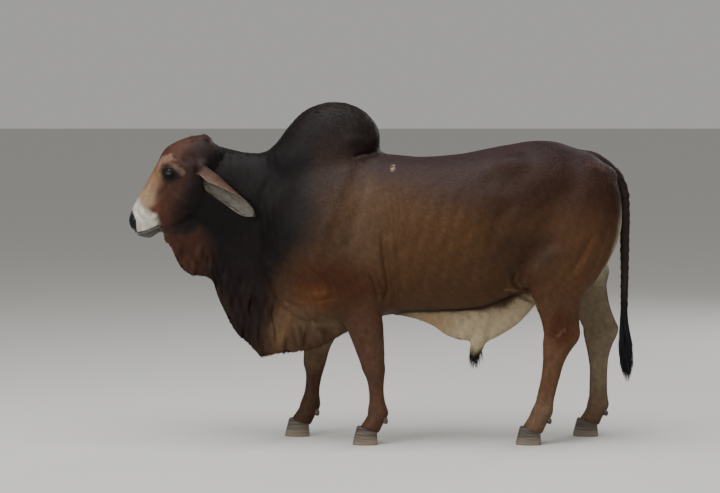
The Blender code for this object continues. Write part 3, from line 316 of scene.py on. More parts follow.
# Height at which a foot's axis is read, for its horn.
FOOT_HEIGHT = 0.05
# Dewclaws: height, distance behind the foot's axis, half their spread, tilt and half sizes.
DEWCLAW_HEIGHT, DEWCLAW_BACK, DEWCLAW_SPREAD = 0.122, 0.050, 0.023
DEWCLAW_TILT, DEWCLAW_SIZE = math.radians(-25), (0.014, 0.0125, 0.020)
# Tufts and locks that are rooted on their own pieces.
TAIL_TUFTS, EAR_BACK_TUFTS, EAR_INNER_TUFTS, EAR_FRINGE_LOCKS = 16000, 7500, 3500, 420
SWITCH_LOCKS, SWITCH_STATIONS = 620, 9
UPPER_LASHES, LOWER_LASHES = 44, 20

# Real sizes of the patterns in the materials, in millimetres.
HAIR_CLUMP, HIDE_CLOUD, SKIN_PEBBLE, HAIR_GLEAM = 2.38, 22.2, 3.03, 1.11
HORN_RING, HORN_DRIFT, HORN_THREAD, HORN_THREAD_LENGTH = 6.25, 166.7, 1.11, 33.3

# The view: aim in the measured frame, distance, rise over the level and lens in millimetres.
CAMERA_AIM, CAMERA_DISTANCE = (-0.1075, 0.0, 0.9725), 16.0
CAMERA_RISE, CAMERA_LENS = math.radians(3.6), 160.0
FLOOR_HALF = 60.0
# Soft lights: name, place, aim, side in metres, watts.
SOFTBOXES = (
    ("top softbox", (-0.5, -1.5, 6.5), (0.0, 0.0, 1.0), 6.0, 520.0),
    ("camera softbox", (-5.0, -8.0, 4.5), (0.0, 0.0, 1.0), 4.0, 330.0),
    ("far softbox", (5.0, 6.0, 4.0), (0.0, 0.0, 1.2), 3.5, 200.0),
)

# Waves pressed into the hide, as height and spacing, and the joints that show under it.
DEWLAP_PLEAT, FINE_PLEAT_SPACING = (0.0046, 0.097), 0.043
NECK_RIDGE, SHOULDER_RIDGE, RIB = (0.0009, 0.041), (0.0003, 0.029), (0.0006, 0.074)
KNEE_HEIGHT, HOCK_HEIGHT = 0.372, 0.520
# Folds pressed into the hide, as lines of x and z in the side view: rise (below zero a crease), half
# width, which side (0 both, -1 the left alone), then the line.
FOLDS = (
    (-0.0150, 0.0130, 0, ((-0.005, 1.060), (0.008, 0.915), (0.028, 0.775), (0.000, 0.665))),
    (0.0070, 0.0200, 0, ((0.045, 1.020), (0.058, 0.900), (0.072, 0.780))),
    (-0.0080, 0.0080, 0, ((-0.066, 0.870), (-0.034, 0.780), (-0.014, 0.700))),
    (0.0050, 0.0090, 0, ((-0.050, 0.880), (-0.016, 0.790), (0.006, 0.720))),
    (-0.0090, 0.0100, 0, ((-0.478, 0.785), (-0.486, 0.708), (-0.412, 0.675), (-0.370, 0.625),
                          (-0.328, 0.566), (-0.190, 0.542))),
    (0.0060, 0.0120, 0, ((-0.455, 0.760), (-0.455, 0.722), (-0.395, 0.695), (-0.350, 0.645),
                         (-0.300, 0.590))),
    (-0.0070, 0.0090, 0, ((-0.380, 0.900), (-0.328, 0.865), (-0.268, 0.820), (-0.225, 0.760))),
    (-0.0065, 0.0080, 0, ((-0.362, 0.742), (-0.320, 0.716), (-0.254, 0.738), (-0.200, 0.720))),
    (0.0060, 0.0130, 0, ((-0.352, 0.765), (-0.310, 0.744), (-0.250, 0.768))),
    (-0.0080, 0.0220, 0, ((-0.560, 0.910), (-0.478, 0.840), (-0.412, 0.740), (-0.362, 0.665))),
    (-0.0140, 0.0085, 0, ((-0.150, 1.428), (-0.095, 1.443), (-0.020, 1.452))),
    (0.0100, 0.0350, 0, ((-0.150, 1.500), (-0.070, 1.490), (-0.010, 1.510))),
    (-0.0080, 0.0450, 0, ((0.540, 1.310), (0.590, 1.280))),
    (-0.0080, 0.0420, 0, ((0.620, 1.180), (0.560, 1.080), (0.550, 1.000))),
    (-0.0130, 0.0380, 0, ((0.620, 0.985), (0.720, 0.960), (0.830, 1.005))),
    (-0.0055, 0.0450, 0, ((0.780, 1.240), (0.840, 1.210))),
    (-0.0120, 0.0100, 0, ((-0.532, 0.735), (-0.538, 0.640), (-0.526, 0.540), (-0.530, 0.440))),
    (0.0070, 0.0150, 0, ((-0.572, 0.720), (-0.575, 0.620), (-0.566, 0.520), (-0.565, 0.430))),
    (0.0060, 0.0160, 0, ((-0.492, 0.690), (-0.494, 0.600), (-0.486, 0.520), (-0.488, 0.440))),
    (-0.0100, 0.0080, 0, ((-0.452, 0.590), (-0.446, 0.520), (-0.450, 0.450))),
    (0.0050, 0.0120, 0, ((-0.415, 0.580), (-0.410, 0.520), (-0.414, 0.460))),
    (-0.0070, 0.0080, 0, ((-0.640, 0.760), (-0.652, 0.660), (-0.636, 0.560), (-0.630, 0.470))),
    (-0.0060, 0.0200, 0, ((1.035, 1.035), (0.988, 0.955), (0.940, 0.870))),
    (-0.0050, 0.0160, 0, ((1.130, 1.150), (1.100, 1.020), (1.050, 0.900), (1.000, 0.800))),
    (-0.0045, 0.0100, 0, ((0.660, 0.860), (0.650, 0.820), (0.690, 0.760))),
    (0.0050, 0.0120, 0, ((0.610, 0.860), (0.640, 0.790), (0.720, 0.720))),
    (-0.0050, 0.0180, 0, ((-0.530, 1.380), (-0.590, 1.250), (-0.620, 1.080), (-0.600, 0.930))),
    (0.0040, 0.0300, 0, ((-0.160, 1.360), (-0.230, 1.200), (-0.300, 1.010), (-0.330, 0.900))),
    (-0.0040, 0.0300, 0, ((-0.060, 1.330), (-0.120, 1.150), (-0.170, 0.980))),
    (-0.0050, 0.0120, 0, ((0.300, 0.660), (0.420, 0.664), (0.560, 0.690), (0.680, 0.735))),
    (0.0030, 0.0060, 0, ((0.180, 0.735), (0.320, 0.700), (0.450, 0.705), (0.560, 0.745))),
)
# The same on the head, along its axis and up from it.
HEAD_FOLDS = (
    (0.0045, 0.0110, ((0.135, 0.078), (0.190, 0.058), (0.250, 0.050), (0.300, 0.046))),
    (-0.0050, 0.0160, ((0.160, 0.112), (0.220, 0.090), (0.290, 0.076))),
    (-0.0070, 0.0260, ((0.030, 0.118), (-0.020, 0.112), (-0.045, 0.100))),
    (-0.0045, 0.0120, ((0.185, 0.030), (0.200, -0.020), (0.180, -0.070), (0.120, -0.110))),
    (0.0030, 0.0140, ((0.160, 0.020), (0.170, -0.025), (0.150, -0.070))),
    (-0.0028, 0.0050, ((0.165, 0.085), (0.205, 0.040), (0.260, 0.000))),
    (0.0022, 0.0040, ((0.175, 0.088), (0.215, 0.044), (0.275, 0.008), (0.320, -0.004))),
    (0.0018, 0.0034, ((0.215, 0.044), (0.232, 0.020), (0.270, -0.028))),
    (-0.0040, 0.0070, ((0.352, 0.095), (0.366, 0.060), (0.362, 0.028))),
    (0.0034, 0.0080, ((0.338, 0.096), (0.350, 0.060), (0.346, 0.024))),
    (-0.0022, 0.0045, ((0.328, 0.086), (0.330, 0.050), (0.320, 0.014))),
    (-0.0030, 0.0050, ((0.325, -0.036), (0.300, -0.030), (0.280, -0.014))),
    (-0.0026, 0.0050, ((0.318, -0.048), (0.296, -0.052), (0.276, -0.044))),
    (-0.0026, 0.0060, ((0.140, 0.172), (0.092, 0.186), (0.044, 0.172), (0.022, 0.140))),
    (0.0030, 0.0070, ((0.142, 0.158), (0.098, 0.172), (0.056, 0.160), (0.038, 0.134))),
    (-0.0020, 0.0045, ((0.060, 0.120), (0.044, 0.098), (0.050, 0.072))),
)


def hexed(text):
    """An sRGB hex colour as linear red, green and blue: each share c is (c + 0.055) / 1.055 to the 2.4."""
    share = np.array([int(text[i:i + 2], 16) for i in (1, 3, 5)]) / 255
    return np.where(share <= 0.04045, share / 12.92, ((share + 0.055) / 1.055) ** 2.4)


def smooth(low, high, value):
    """Nought below low, one above high, and the smooth S of 3t^2 - 2t^3 between them."""
    t = np.clip((np.asarray(value, float) - low) / (high - low), 0.0, 1.0)
    return t * t * (3 - 2 * t)


def wave(place, spacing, start=0.0):
    """A sine of the place, once round for each spacing."""
    return np.sin(2 * math.pi * place / spacing + start)


def from_line(points, line):
    """How far each point of the plane is from a line of short runs, and its share of the line's length."""
    line = np.array(line, float)
    lengths = np.linalg.norm(np.diff(line, axis=0), axis=1)
    reached = np.concatenate([[0.0], np.cumsum(lengths)])
    best = np.full(len(points), 1e9)
    share = np.zeros(len(points))
    for start, end, length, before in zip(line[:-1], line[1:], lengths, reached):
        t = np.clip((points - start) @ (end - start) / length**2, 0, 1)
        away = np.linalg.norm(points - start - t[:, None] * (end - start), axis=1)
        nearer = away < best
        best = np.where(nearer, away, best)
        share = np.where(nearer, (before + t * length) / reached[-1], share)
    return best, share


def ripple(points, size, seed):
    """Gentle unevenness between about -1 and 1: the mean of six seeded sine waves about size across."""
    chance = np.random.default_rng(seed)
    ways = chance.normal(size=(6, 3))
    stretch = (2 * math.pi / size) * chance.uniform(0.6, 1.6, 6) / np.linalg.norm(ways, axis=1)
    ways *= stretch[:, None]
    return np.sin(points @ ways.T + chance.uniform(0, 2 * math.pi, 6)).mean(axis=1) * 1.9


def read_line(pairs, at):
    """A line of pairs read at these places, straight between its points."""
    return np.interp(at, *np.array(pairs).T)


def sided(name, side):
    """The name with left or right after it."""
    return name + ("_left" if side < 0 else "_right")


def on_head(along, up, out):
    """A place given along the head's axis, up from it and out from the mid-plane."""
    return HEAD_HINGE + ALONG * along + RISE * up + np.array((0.0, out, 0.0))


def head_frame(points):
    """Each point's distance along the head's axis, up from it and out: dot products with those ways."""
    away = points - HEAD_HINGE
    return away @ ALONG, away @ RISE, points[:, 1]


def eye_centre(side):
    """The middle of one eyeball."""
    return on_head(EYE[0], EYE[1], EYE[2] * side)


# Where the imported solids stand, from the place of one eye.
ORIGIN = sum(np.array(corner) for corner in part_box("eye_left")) / 2 - eye_centre(-1)


def new_object(name, data):
    """An object of the scene, at the origin and unturned."""
    made = bpy.data.objects.new(name, data)
    bpy.context.scene.collection.objects.link(made)
    return made


def mesh_object(name, points, faces):
    """An object made of these points and faces."""
    mesh = bpy.data.meshes.new(name)
    mesh.from_pydata(np.asarray(points, float).tolist(), [], faces)
    return new_object(name, mesh)


def read_smoothly(rows, count):
    """The rows of a table read at even places along its first column, by a cubic curve through them."""
    rows = np.array(rows, float)
    places = rows[:, 0]
    slopes = np.gradient(rows, places, axis=0)
    wanted = np.linspace(places[0], places[-1], count)
    rising = places if places[0] < places[-1] else -places
    sought = wanted if places[0] < places[-1] else -wanted
    k = np.clip(np.searchsorted(rising, sought) - 1, 0, len(places) - 2)
    step = (places[k + 1] - places[k])[:, None]
    u = (wanted - places[k])[:, None] / step
    return (
        (2 * u**3 - 3 * u**2 + 1) * rows[k]
        + (u**3 - 2 * u**2 + u) * step * slopes[k]
        + (-2 * u**3 + 3 * u**2) * rows[k + 1]
        + (u**3 - u**2) * step * slopes[k + 1]
    )


def rounded(angle, fullness):
    """Cosine and sine of a superellipse: each raised to 2 over the fullness, with its own sign."""
    c, s = np.cos(angle), np.sin(angle)
    power = 2 / fullness
    return np.sign(c) * np.abs(c) ** power, np.sign(s) * np.abs(s) ** power


def loft(name, rings):
    """A closed body through rings, an array of stations by points round each."""
    stations, sides, _ = rings.shape
    faces = [
        (i * sides + j, i * sides + (j + 1) % sides, (i + 1) * sides + (j + 1) % sides, (i + 1) * sides + j)
        for i in range(stations - 1)
        for j in range(sides)
    ]
    faces.append(tuple(range(sides))[::-1])
    faces.append(tuple(range((stations - 1) * sides, stations * sides)))
    made = mesh_object(name, rings.reshape(-1, 3), faces)
    turn_outwards(made)
    return made


def turn_outwards(obj):
    """Faces made to agree, and turned over where the volume that they enclose is below zero."""
    shape = bmesh.new()
    shape.from_mesh(obj.data)
    bmesh.ops.recalc_face_normals(shape, faces=shape.faces)
    if shape.calc_volume(signed=True) < 0:
        bmesh.ops.reverse_faces(shape, faces=shape.faces)
    shape.to_mesh(obj.data)
    shape.free()


def upright_rings(rows, count, sides, top_fullness, bottom_fullness):
    """Rings across X: the half width times a superellipse, and its rise above and below the waist."""
    x, top, bottom, half, share = read_smoothly(rows, count).T[:, :, None]
    angle = np.linspace(0, 2 * math.pi, sides, endpoint=False)[None, :]
    upper = np.sin(angle) >= 0
    across, rise = rounded(angle, np.where(upper, top_fullness, bottom_fullness))
    waist = bottom + share * (top - bottom)
    z = waist + rise * np.where(upper, top - waist, waist - bottom)
    return np.stack(np.broadcast_arrays(x, across * half, z), axis=-1)


def level_rings(rows, count, sides, fullness=2.2):
    """Level rings from rows of height, front, back, centre across and half width."""
    z, front, back, centre, half = read_smoothly(rows, count).T[:, :, None]
    angle = np.linspace(0, 2 * math.pi, sides, endpoint=False)[None, :]
    along, across = rounded(angle, fullness)
    x = (front + back) / 2 + along * (back - front) / 2
    return np.stack(np.broadcast_arrays(x, centre + across * half, z), axis=-1)


def fold_rings(rows, count, sides, pleat_depth):
    """Upright rings of a hanging fold, swaying across as a sine of x, more and more to its lower edge."""
    x, top, bottom, thick, edge = read_smoothly(rows, count).T[:, :, None]
    angle = np.linspace(0, 2 * math.pi, sides, endpoint=False)[None, :]
    across, rise = rounded(angle, 2.6)
    drop = (1 - rise) / 2
    half = edge + (thick - edge) * (1 - drop) ** 1.3
    sway = pleat_depth * wave(x + 0.25 * (1 - drop), PLEAT_SPACING) * drop
    z = top + (bottom - top) * drop
    return np.stack(np.broadcast_arrays(x, across * half + sway, z), axis=-1)


def tube_rings(points, radii, sides, flat=1.0):
    """Rings square to a path, with the given radii, flattened across the path's side by flat."""
    points = np.array(points, float)
    ahead = np.gradient(points, axis=0)
    ahead /= np.linalg.norm(ahead, axis=1)[:, None]
    side = np.cross(ahead, (0.0, 1.0, 0.0))
    side /= np.linalg.norm(side, axis=1)[:, None]
    other = np.cross(side, ahead)
    angle = np.linspace(0, 2 * math.pi, sides, endpoint=False)
    spread = np.array(radii, float)[:, None, None]
    return points[:, None] + spread * (
        np.cos(angle)[None, :, None] * side[:, None] + flat * np.sin(angle)[None, :, None] * other[:, None]
    )


def head_rings(count, sides):
    """Rings across the head's axis: the half width times a superellipse about the waist."""
    s, top, bottom, half, share, over, under = read_smoothly(HEAD, count).T[:, :, None]
    angle = np.linspace(0, 2 * math.pi, sides, endpoint=False)[None, :]
    upper = np.sin(angle) >= 0
    across, rise = rounded(angle, np.where(upper, over, under))
    waist = bottom + share * (top - bottom)
    t = waist + rise * np.where(upper, top - waist, waist - bottom)
    place = HEAD_HINGE + s[..., None] * ALONG + t[..., None] * RISE
    place[..., 1] += across * half
    return place


def lump(centre, ways, sizes):
    """An ellipsoid: rings of longitude and latitude, each way times its half size."""
    tall = np.linspace(-math.pi / 2, math.pi / 2, 18)[1:-1, None]
    angle = np.linspace(0, 2 * math.pi, 28, endpoint=False)[None, :]
    level = np.cos(tall)
    unit = np.stack(np.broadcast_arrays(level * np.cos(angle), level * np.sin(angle), np.sin(tall)), -1)
    return loft("lump", np.array(centre) + (unit * np.array(sizes)) @ np.array(ways))


def head_lump(row, side):
    """An ellipsoid in the head's own frame, on one side of it or, for side 0, on its mid-plane."""
    return lump(on_head(row[0], row[1], row[2] * side), (ALONG, (0, 1, 0), RISE), (row[3], row[5], row[4]))


def mirrored(rows, side):
    """Level rows with their centres on this side of the mid-plane."""
    rows = np.array(rows, float)
    rows[:, 3] *= side
    return rows


def leg_path(name, z):
    """The leg's own axis at these heights: x and y read along its bent line."""
    _, side, axis = LEGS[name]
    run = np.array(axis)[::-1]
    return np.interp(z, run[:, 0], run[:, 1]), side * np.interp(z, run[:, 0], run[:, 2])


def leg_rings(name):
    """Level rings round the leg's bent axis: front and back are the axis less and plus its depths."""
    z, before, behind, half = read_smoothly(LEGS[name][0], 60).T
    x, y = leg_path(name, z)
    return level_rings(np.stack([z, x - before, x + behind, y, half], axis=1), 60, 28)


def joined(name, pieces):
    """Closed pieces gathered in one object, still overlapping."""
    shape = bmesh.new()
    for piece in pieces:
        shape.from_mesh(piece.data)
        bpy.data.objects.remove(piece)
    mesh = bpy.data.meshes.new(name)
    shape.to_mesh(mesh)
    shape.free()
    return new_object(name, mesh)


def apply_modifiers(obj):
    """The object's mesh as its modifiers leave it, without them."""
    graph = bpy.context.evaluated_depsgraph_get()
    mesh = bpy.data.meshes.new_from_object(obj.evaluated_get(graph))
    obj.modifiers.clear()
    obj.data = mesh


def fuse(obj, voxel, smoothing):
    """Overlapping pieces made one skin, with the creases between them filled out."""
    remesh = obj.modifiers.new("fuse", "REMESH")
    remesh.mode = "VOXEL"
    remesh.voxel_size = voxel
    soften = obj.modifiers.new("fill", "SMOOTH")
    soften.factor = 0.5
    soften.iterations = smoothing
    apply_modifiers(obj)


def tail_path(count):
    """The tail's middle line and radius, read evenly along its length."""
    rows = np.array(TAIL)
    length = np.concatenate([[0], np.cumsum(np.hypot(np.diff(rows[:, 0]), np.diff(rows[:, 1])))])
    read = read_smoothly(np.column_stack([length, rows]), count)
    return np.stack([read[:, 1], 0 * read[:, 1], read[:, 2]], axis=1), read[:, 3]


def flesh():
    """Every mass of the animal lofted, the trunk blended widely first and then all of it finely."""
    pieces = [
        loft("trunk", upright_rings(TRUNK, 60, 40, 2.15, 2.25)),
        loft("neck", upright_rings(NECK, 40, 32, 2.1, 2.1)),
    ]
    z, front, back, half, lean = np.array(HUMP).T
    pieces.append(loft("hump", level_rings(np.stack([z, front, back, lean, half], axis=1), 24, 28)))
    for side in (-1, 1):
        pieces.append(loft("shoulder", level_rings(mirrored(SHOULDER, side), 24, 24, 2.0)))
        haunch = mirrored(HAUNCH, side)
        # The near thigh stands further forward low down.
        if side < 0:
            haunch[:, 2] -= THIGH_SHIFT * np.clip((THIGH_SHIFT_TOP - haunch[:, 0]) / 0.24, 0, 1)
        pieces.append(loft("haunch", level_rings(haunch, 24, 24, 2.0)))
        for x, y, z, a, b, c in (HIP_BONE, PIN_BONE, STIFLE):
            pieces.append(lump((x, y * side, z), np.eye(3), (a, b, c)))
    pieces += [loft(name, leg_rings(name)) for name in LEGS]
    trunk = joined("trunk", pieces)
    fuse(trunk, TRUNK_VOXEL, TRUNK_SMOOTHING)

    pieces = [trunk, loft("dewlap", fold_rings(DEWLAP, 180, 40, PLEAT_DEPTH))]
    pieces.append(loft("sheath", fold_rings(SHEATH, 60, 32, SHEATH_PLEAT_DEPTH)))
    tip = np.array(SHEATH_TIP)
    path = np.stack([tip[:, 0], 0 * tip[:, 0], tip[:, 1]], axis=1)
    pieces.append(loft("sheath tip", tube_rings(path, tip[:, 2], 24)))
    z, half, depth = np.array(SCROTUM).T
    rows = np.stack([z, SCROTUM_X - depth, SCROTUM_X + depth, 0 * z, half], axis=1)
    pieces.append(loft("scrotum", level_rings(rows, 30, 32)))
    path, radii = tail_path(60)
    high = path[:, 2] > TAIL_IN_FLESH
    pieces.append(loft("tail root", tube_rings(path[high], radii[high], 24)))
    pieces += [loft(name, leg_rings(name)) for name in LEGS]
    pieces.append(loft("skull", head_rings(90, 56)))
    pieces += [head_lump(row, 0) for row in (CHIN, POLL)]
    for side in (-1, 1):
        pieces += [head_lump(row, side) for row in (ORBIT, BROW, CHEEK, NOSE_WING)]
        out = EAR_OUTWARD * (1, side, 1)
        first = np.cross(out, (0, 0, 1.0))
        first /= np.linalg.norm(first)
        pieces.append(lump(EAR_ROOT * (1, side, 1), (first, np.cross(out, first), out), EAR_MOUND))
    body = joined("skin", pieces)
    fuse(body, SKIN_VOXEL, SKIN_SMOOTHING)
    return body


def places_of(mesh):
    """The points' places, a row each."""
    points = np.empty(len(mesh.vertices) * 3)
    mesh.vertices.foreach_get("co", points)
    return points.reshape(-1, 3)


def normals_of(mesh):
    """The points' normals, a row each."""
    normals = np.empty(len(mesh.vertices) * 3)
    mesh.vertex_normals.foreach_get("vector", normals)
    return normals.reshape(-1, 3)


def set_places(mesh, points):
    """Moves the points to these places."""
    mesh.vertices.foreach_set("co", np.asarray(points, np.float64).ravel())
    mesh.update()


def finer_near(obj, centre, radius):
    """Cuts each edge near a place in two, so that small forms there have points enough."""
    shape = bmesh.new()
    shape.from_mesh(obj.data)
    shape.verts.ensure_lookup_table()
    near = np.linalg.norm(places_of(obj.data) - centre, axis=1) < radius
    edges = [edge for edge in shape.edges if near[edge.verts[0].index] and near[edge.verts[1].index]]
    bmesh.ops.subdivide_edges(shape, edges=edges, cuts=1, use_grid_fill=True)
    bmesh.ops.triangulate(shape, faces=[face for face in shape.faces if len(face.verts) > 4])
    shape.to_mesh(obj.data)
    shape.free()


def eye_frame(points, side):
    """Places about one eye: along the slit, across it towards the brow, and out from the head."""
    s, u, y = head_frame(points)
    ds, du = s - EYE[0], u - EYE[1]
    along = ds * math.cos(SLIT_TURN) + du * math.sin(SLIT_TURN)
    across = du * math.cos(SLIT_TURN) - ds * math.sin(SLIT_TURN)
    return along, across, y * side - EYE[2]


def slit_measure(along, across):
    """Nought on the slit's middle line, one on its rim: across over an almond's height at that place."""
    t = np.clip(np.abs(along) / SLIT_HALF, 0, 0.999)
    height = np.where(across > 0, UPPER_LID, LOWER_LID) * (1 - t**2) ** 0.7 + 0.0008
    outside = np.clip(np.abs(along) - SLIT_HALF, 0, None) / 0.012
    return np.abs(across) / height, outside


def press_details(obj):
    """Moves the skin along its own normals by the folds' heights, then shapes lids, nostrils and feet.

    A fold's height falls away from its line as exp(-(distance / width)^2) and fades out at its ends.
    """
    mesh = obj.data
    points, normals = places_of(mesh), normals_of(mesh)
    side_view = points[:, [0, 2]]
    facing = smooth(0.15, 0.6, np.abs(normals[:, 1]))
    on_body = 1 - smooth(0.0, 0.02, head_share(points))
    move = np.full(len(points), -COAT_DEPTH)
    for rise, width, side, line in FOLDS:
        away, share = from_line(side_view, line)
        ends = 1.0 if width > 0.018 else smooth(0.0, 0.25, share) * (1 - smooth(0.75, 1.0, share)) + 0.1
        here = facing * on_body * (1.0 if side == 0 else (points[:, 1] * side > 0))
        here = here * (np.abs(points[:, 1]) > 0.02)
        move += rise * np.exp(-((away / width) ** 2)) * np.clip(ends, 0, 1) * here

    x, y, z = points.T
    # Pleats of the dewlap lean forward as they fall, and deepen towards its edge.
    hang = dewlap_share(points)
    phase = x - 0.20 * (z - 0.8) + 0.030 * ripple(points, 0.4, 3)
    pleat = wave(phase, DEWLAP_PLEAT[1]) + 0.35 * wave(phase, FINE_PLEAT_SPACING, 1.3)
    move += DEWLAP_PLEAT[0] * (pleat - 0.3) * hang * smooth(0.2, 0.7, np.abs(normals[:, 1]))
    # Loose neck skin in upright ridges, and finer ones behind the shoulder.
    neck = smooth(-0.90, -0.82, x) * (1 - smooth(-0.60, -0.42, x)) * smooth(0.92, 1.05, z) * on_body
    ridge = wave(x + 0.12 * (z - 1.2) + 0.020 * ripple(points, 0.2, 5), NECK_RIDGE[1])
    move += NECK_RIDGE[0] * ridge * neck * facing * (1 - hang)
    strip = smooth(-0.05, -0.02, x) * (1 - smooth(0.08, 0.13, x)) * smooth(0.92, 1.0, z)
    strip = strip * (1 - smooth(1.22, 1.32, z))
    ridge = wave(x + 0.05 * z + 0.012 * ripple(points, 0.2, 6), SHOULDER_RIDGE[1])
    move += SHOULDER_RIDGE[0] * ridge * strip * facing
    # Ribs, each a little behind the last, seen faintly through the hide.
    chest = smooth(0.04, 0.16, x) * (1 - smooth(0.42, 0.56, x)) * smooth(0.74, 0.86, z)
    chest = chest * (1 - smooth(1.18, 1.34, z))
    move += RIB[0] * wave(x + 0.28 * (1.1 - z), RIB[1]) * chest * facing
    move += 0.0016 * ripple(points, 0.20, 8) * on_body + 0.0003 * ripple(points, 0.06, 9)
    # Tendons and bone of the lower legs.
    for name in LEGS:
        ax, ay = leg_path(name, z)
        near = np.exp(-(((y - ay) / 0.09) ** 4)) * smooth(0.60, 0.50, z) * smooth(0.17, 0.20, z)
        near = near * (np.abs(x - ax) < 0.13)
        groove = np.exp(-(((x - ax - 0.012) / 0.010) ** 2)) * (1 - smooth(0.30, 0.34, z))
        move -= 0.0034 * groove * near * smooth(0.4, 0.8, np.abs(normals[:, 1]))
        joint = KNEE_HEIGHT if name.startswith("fore") else HOCK_HEIGHT
        cap = np.exp(-(((z - joint) / 0.035) ** 2))
        move += 0.0030 * cap * near * smooth(0.3, 0.8, np.abs(normals[:, 0] * (normals[:, 0] < 0)))
        knob = np.exp(-(((x - ax + 0.012) / 0.016) ** 2))
        move += 0.0030 * cap * near * knob * smooth(0.5, 0.9, np.abs(normals[:, 1]))

    s, u, _ = head_frame(points)
    face = head_share(points)
    head_view = np.stack([s, u], axis=1)
    aside = smooth(0.10, 0.45, np.abs(normals[:, 1]))
    for rise, width, line in HEAD_FOLDS:
        away, share = from_line(head_view, line)
        ends = smooth(0.0, 0.2, share) * (1 - smooth(0.8, 1.0, share)) + 0.2
        move += rise * np.exp(-((away / width) ** 2)) * np.clip(ends, 0, 1) * face * aside
    away, share = from_line(head_view, MOUTH_LINE)
    move -= 0.0065 * np.exp(-((away / 0.0032) ** 2)) * face * (1 - smooth(0.9, 1.0, share) * 0.6)
    move += 0.0024 * np.exp(-(((away - 0.009) / 0.006) ** 2)) * face
    points = points + normals * move[:, None]

    for side in (-1, 1):
        points = open_nostril(points, side)
        points = shape_lids(points, side)
    set_places(mesh, trim_feet(points))


def head_share(points):
    """One on the head, nought on the neck, changing smoothly across the line from poll to jaw angle."""
    x, _, z = points.T
    edge = -0.8425 + (z - 1.50) * 0.114
    return smooth(0.0, 0.03, edge - x) * smooth(1.020, 1.045, z + smooth(-1.104, -1.130, x) * 0.2)


def dewlap_share(points):
    """One on the hanging dewlap, nought on the flesh above it, from a line of x and z and the width."""
    x, y, z = points.T
    top = read_line(DEWLAP_TOP, x)
    return smooth(0.02, -0.10, z - top) * (x < 0.0) * (1 - smooth(0.075, 0.115, np.abs(y) * (x > -0.45)))


def nostril_measure(ds, du, dy):
    """One on the nostril's rim: the distances from its middle over its half sizes, squared and rooted."""
    half_long, half_high, half_wide = NOSTRIL_SIZE
    return np.sqrt((ds / half_long) ** 2 + (du / half_high) ** 2 + (dy / half_wide) ** 2)


def open_nostril(points, side):
    """Presses a comma-shaped opening into the muzzle: depth 1 - d^2 inside it and a rolled rim outside."""
    s, u, y = head_frame(points)
    ds, du, dy = s - NOSTRIL[0], u - NOSTRIL[1], y * side - NOSTRIL[2]
    du = du + 0.35 * dy
    d = nostril_measure(ds, du, dy)
    inward = -ALONG * 0.8 + np.array((0, -side * 0.55, 0)) + RISE * 0.15
    deep = 0.020 * np.clip(1 - d**2, 0, 1)
    rim = 0.0030 * np.exp(-(((d - 1.25) / 0.22) ** 2))
    return points + inward * (deep - rim)[:, None]


def shape_lids(points, side):
    """Lids lie on a ball a little larger than the eye, and the skin inside the slit goes behind it."""
    along, across, out = eye_frame(points, side)
    centre = eye_centre(side)
    away = points - centre
    size = np.linalg.norm(away, axis=1)
    flat = np.hypot(along, across)
    near = (out > -0.012) & (flat < 0.06)
    measure, outside = slit_measure(along, across)
    inside = (measure < 1.0) & (outside == 0)
    lid = EYE_RADIUS + 0.0036 + 0.0012 * np.exp(-(((measure - 1.25) / 0.2) ** 2))
    lid = lid - 0.0016 * np.exp(-(((measure - 1.9) / 0.22) ** 2)) * (across > 0)
    blend = smooth(0.047, 0.022, flat)
    wanted = size + (lid - size) * blend
    rim = smooth(0.80, 1.0, measure)
    wanted = np.where(inside, EYE_RADIUS * (0.62 + 0.32 * rim), wanted)
    scale = np.where(near, wanted / np.maximum(size, 1e-6), 1.0)
    return centre + away * scale[:, None]


def trim_feet(points):
    """Below each coronet the skin is drawn in towards the foot's axis, so that the horn covers it."""
    for name in LEGS:
        x0, y0 = leg_path(name, FOOT_HEIGHT)
        dx, dy = points[:, 0] - x0, points[:, 1] - y0
        below = CORONET - dx * math.tan(HOOF_TILT) - points[:, 2]
        here = (np.abs(dx) < 0.12) & (np.abs(dy) < 0.10) & (below > -0.004)
        keep = np.where(here, 1 - 0.30 * smooth(-0.004, 0.008, below), 1.0)
        points = points.copy()
        points[:, 0] = x0 + dx * keep
        points[:, 1] = y0 + dy * keep
    return points


def thin_out(obj, triangles):
    """Fewer triangles, most kept where the form bends and on the head."""
    points = places_of(obj.data)
    weight = 0.25 + 0.75 * head_share(points) + 0.2 * dewlap_share(points)
    group = obj.vertex_groups.new(name="fine")
    for step in range(11):
        chosen = np.flatnonzero(np.round(np.clip(weight, 0, 1) * 10) == step)
        group.add(chosen.tolist(), step / 10, "REPLACE")
    count = sum(len(face.vertices) - 2 for face in obj.data.polygons)
    decimate = obj.modifiers.new("thin", "DECIMATE")
    decimate.ratio = min(1.0, triangles / count)
    decimate.vertex_group = "fine"
    decimate.invert_vertex_group = True
    decimate.vertex_group_factor = 4.0
    decimate.use_collapse_triangulate = True
    apply_modifiers(obj)
    obj.vertex_groups.clear()


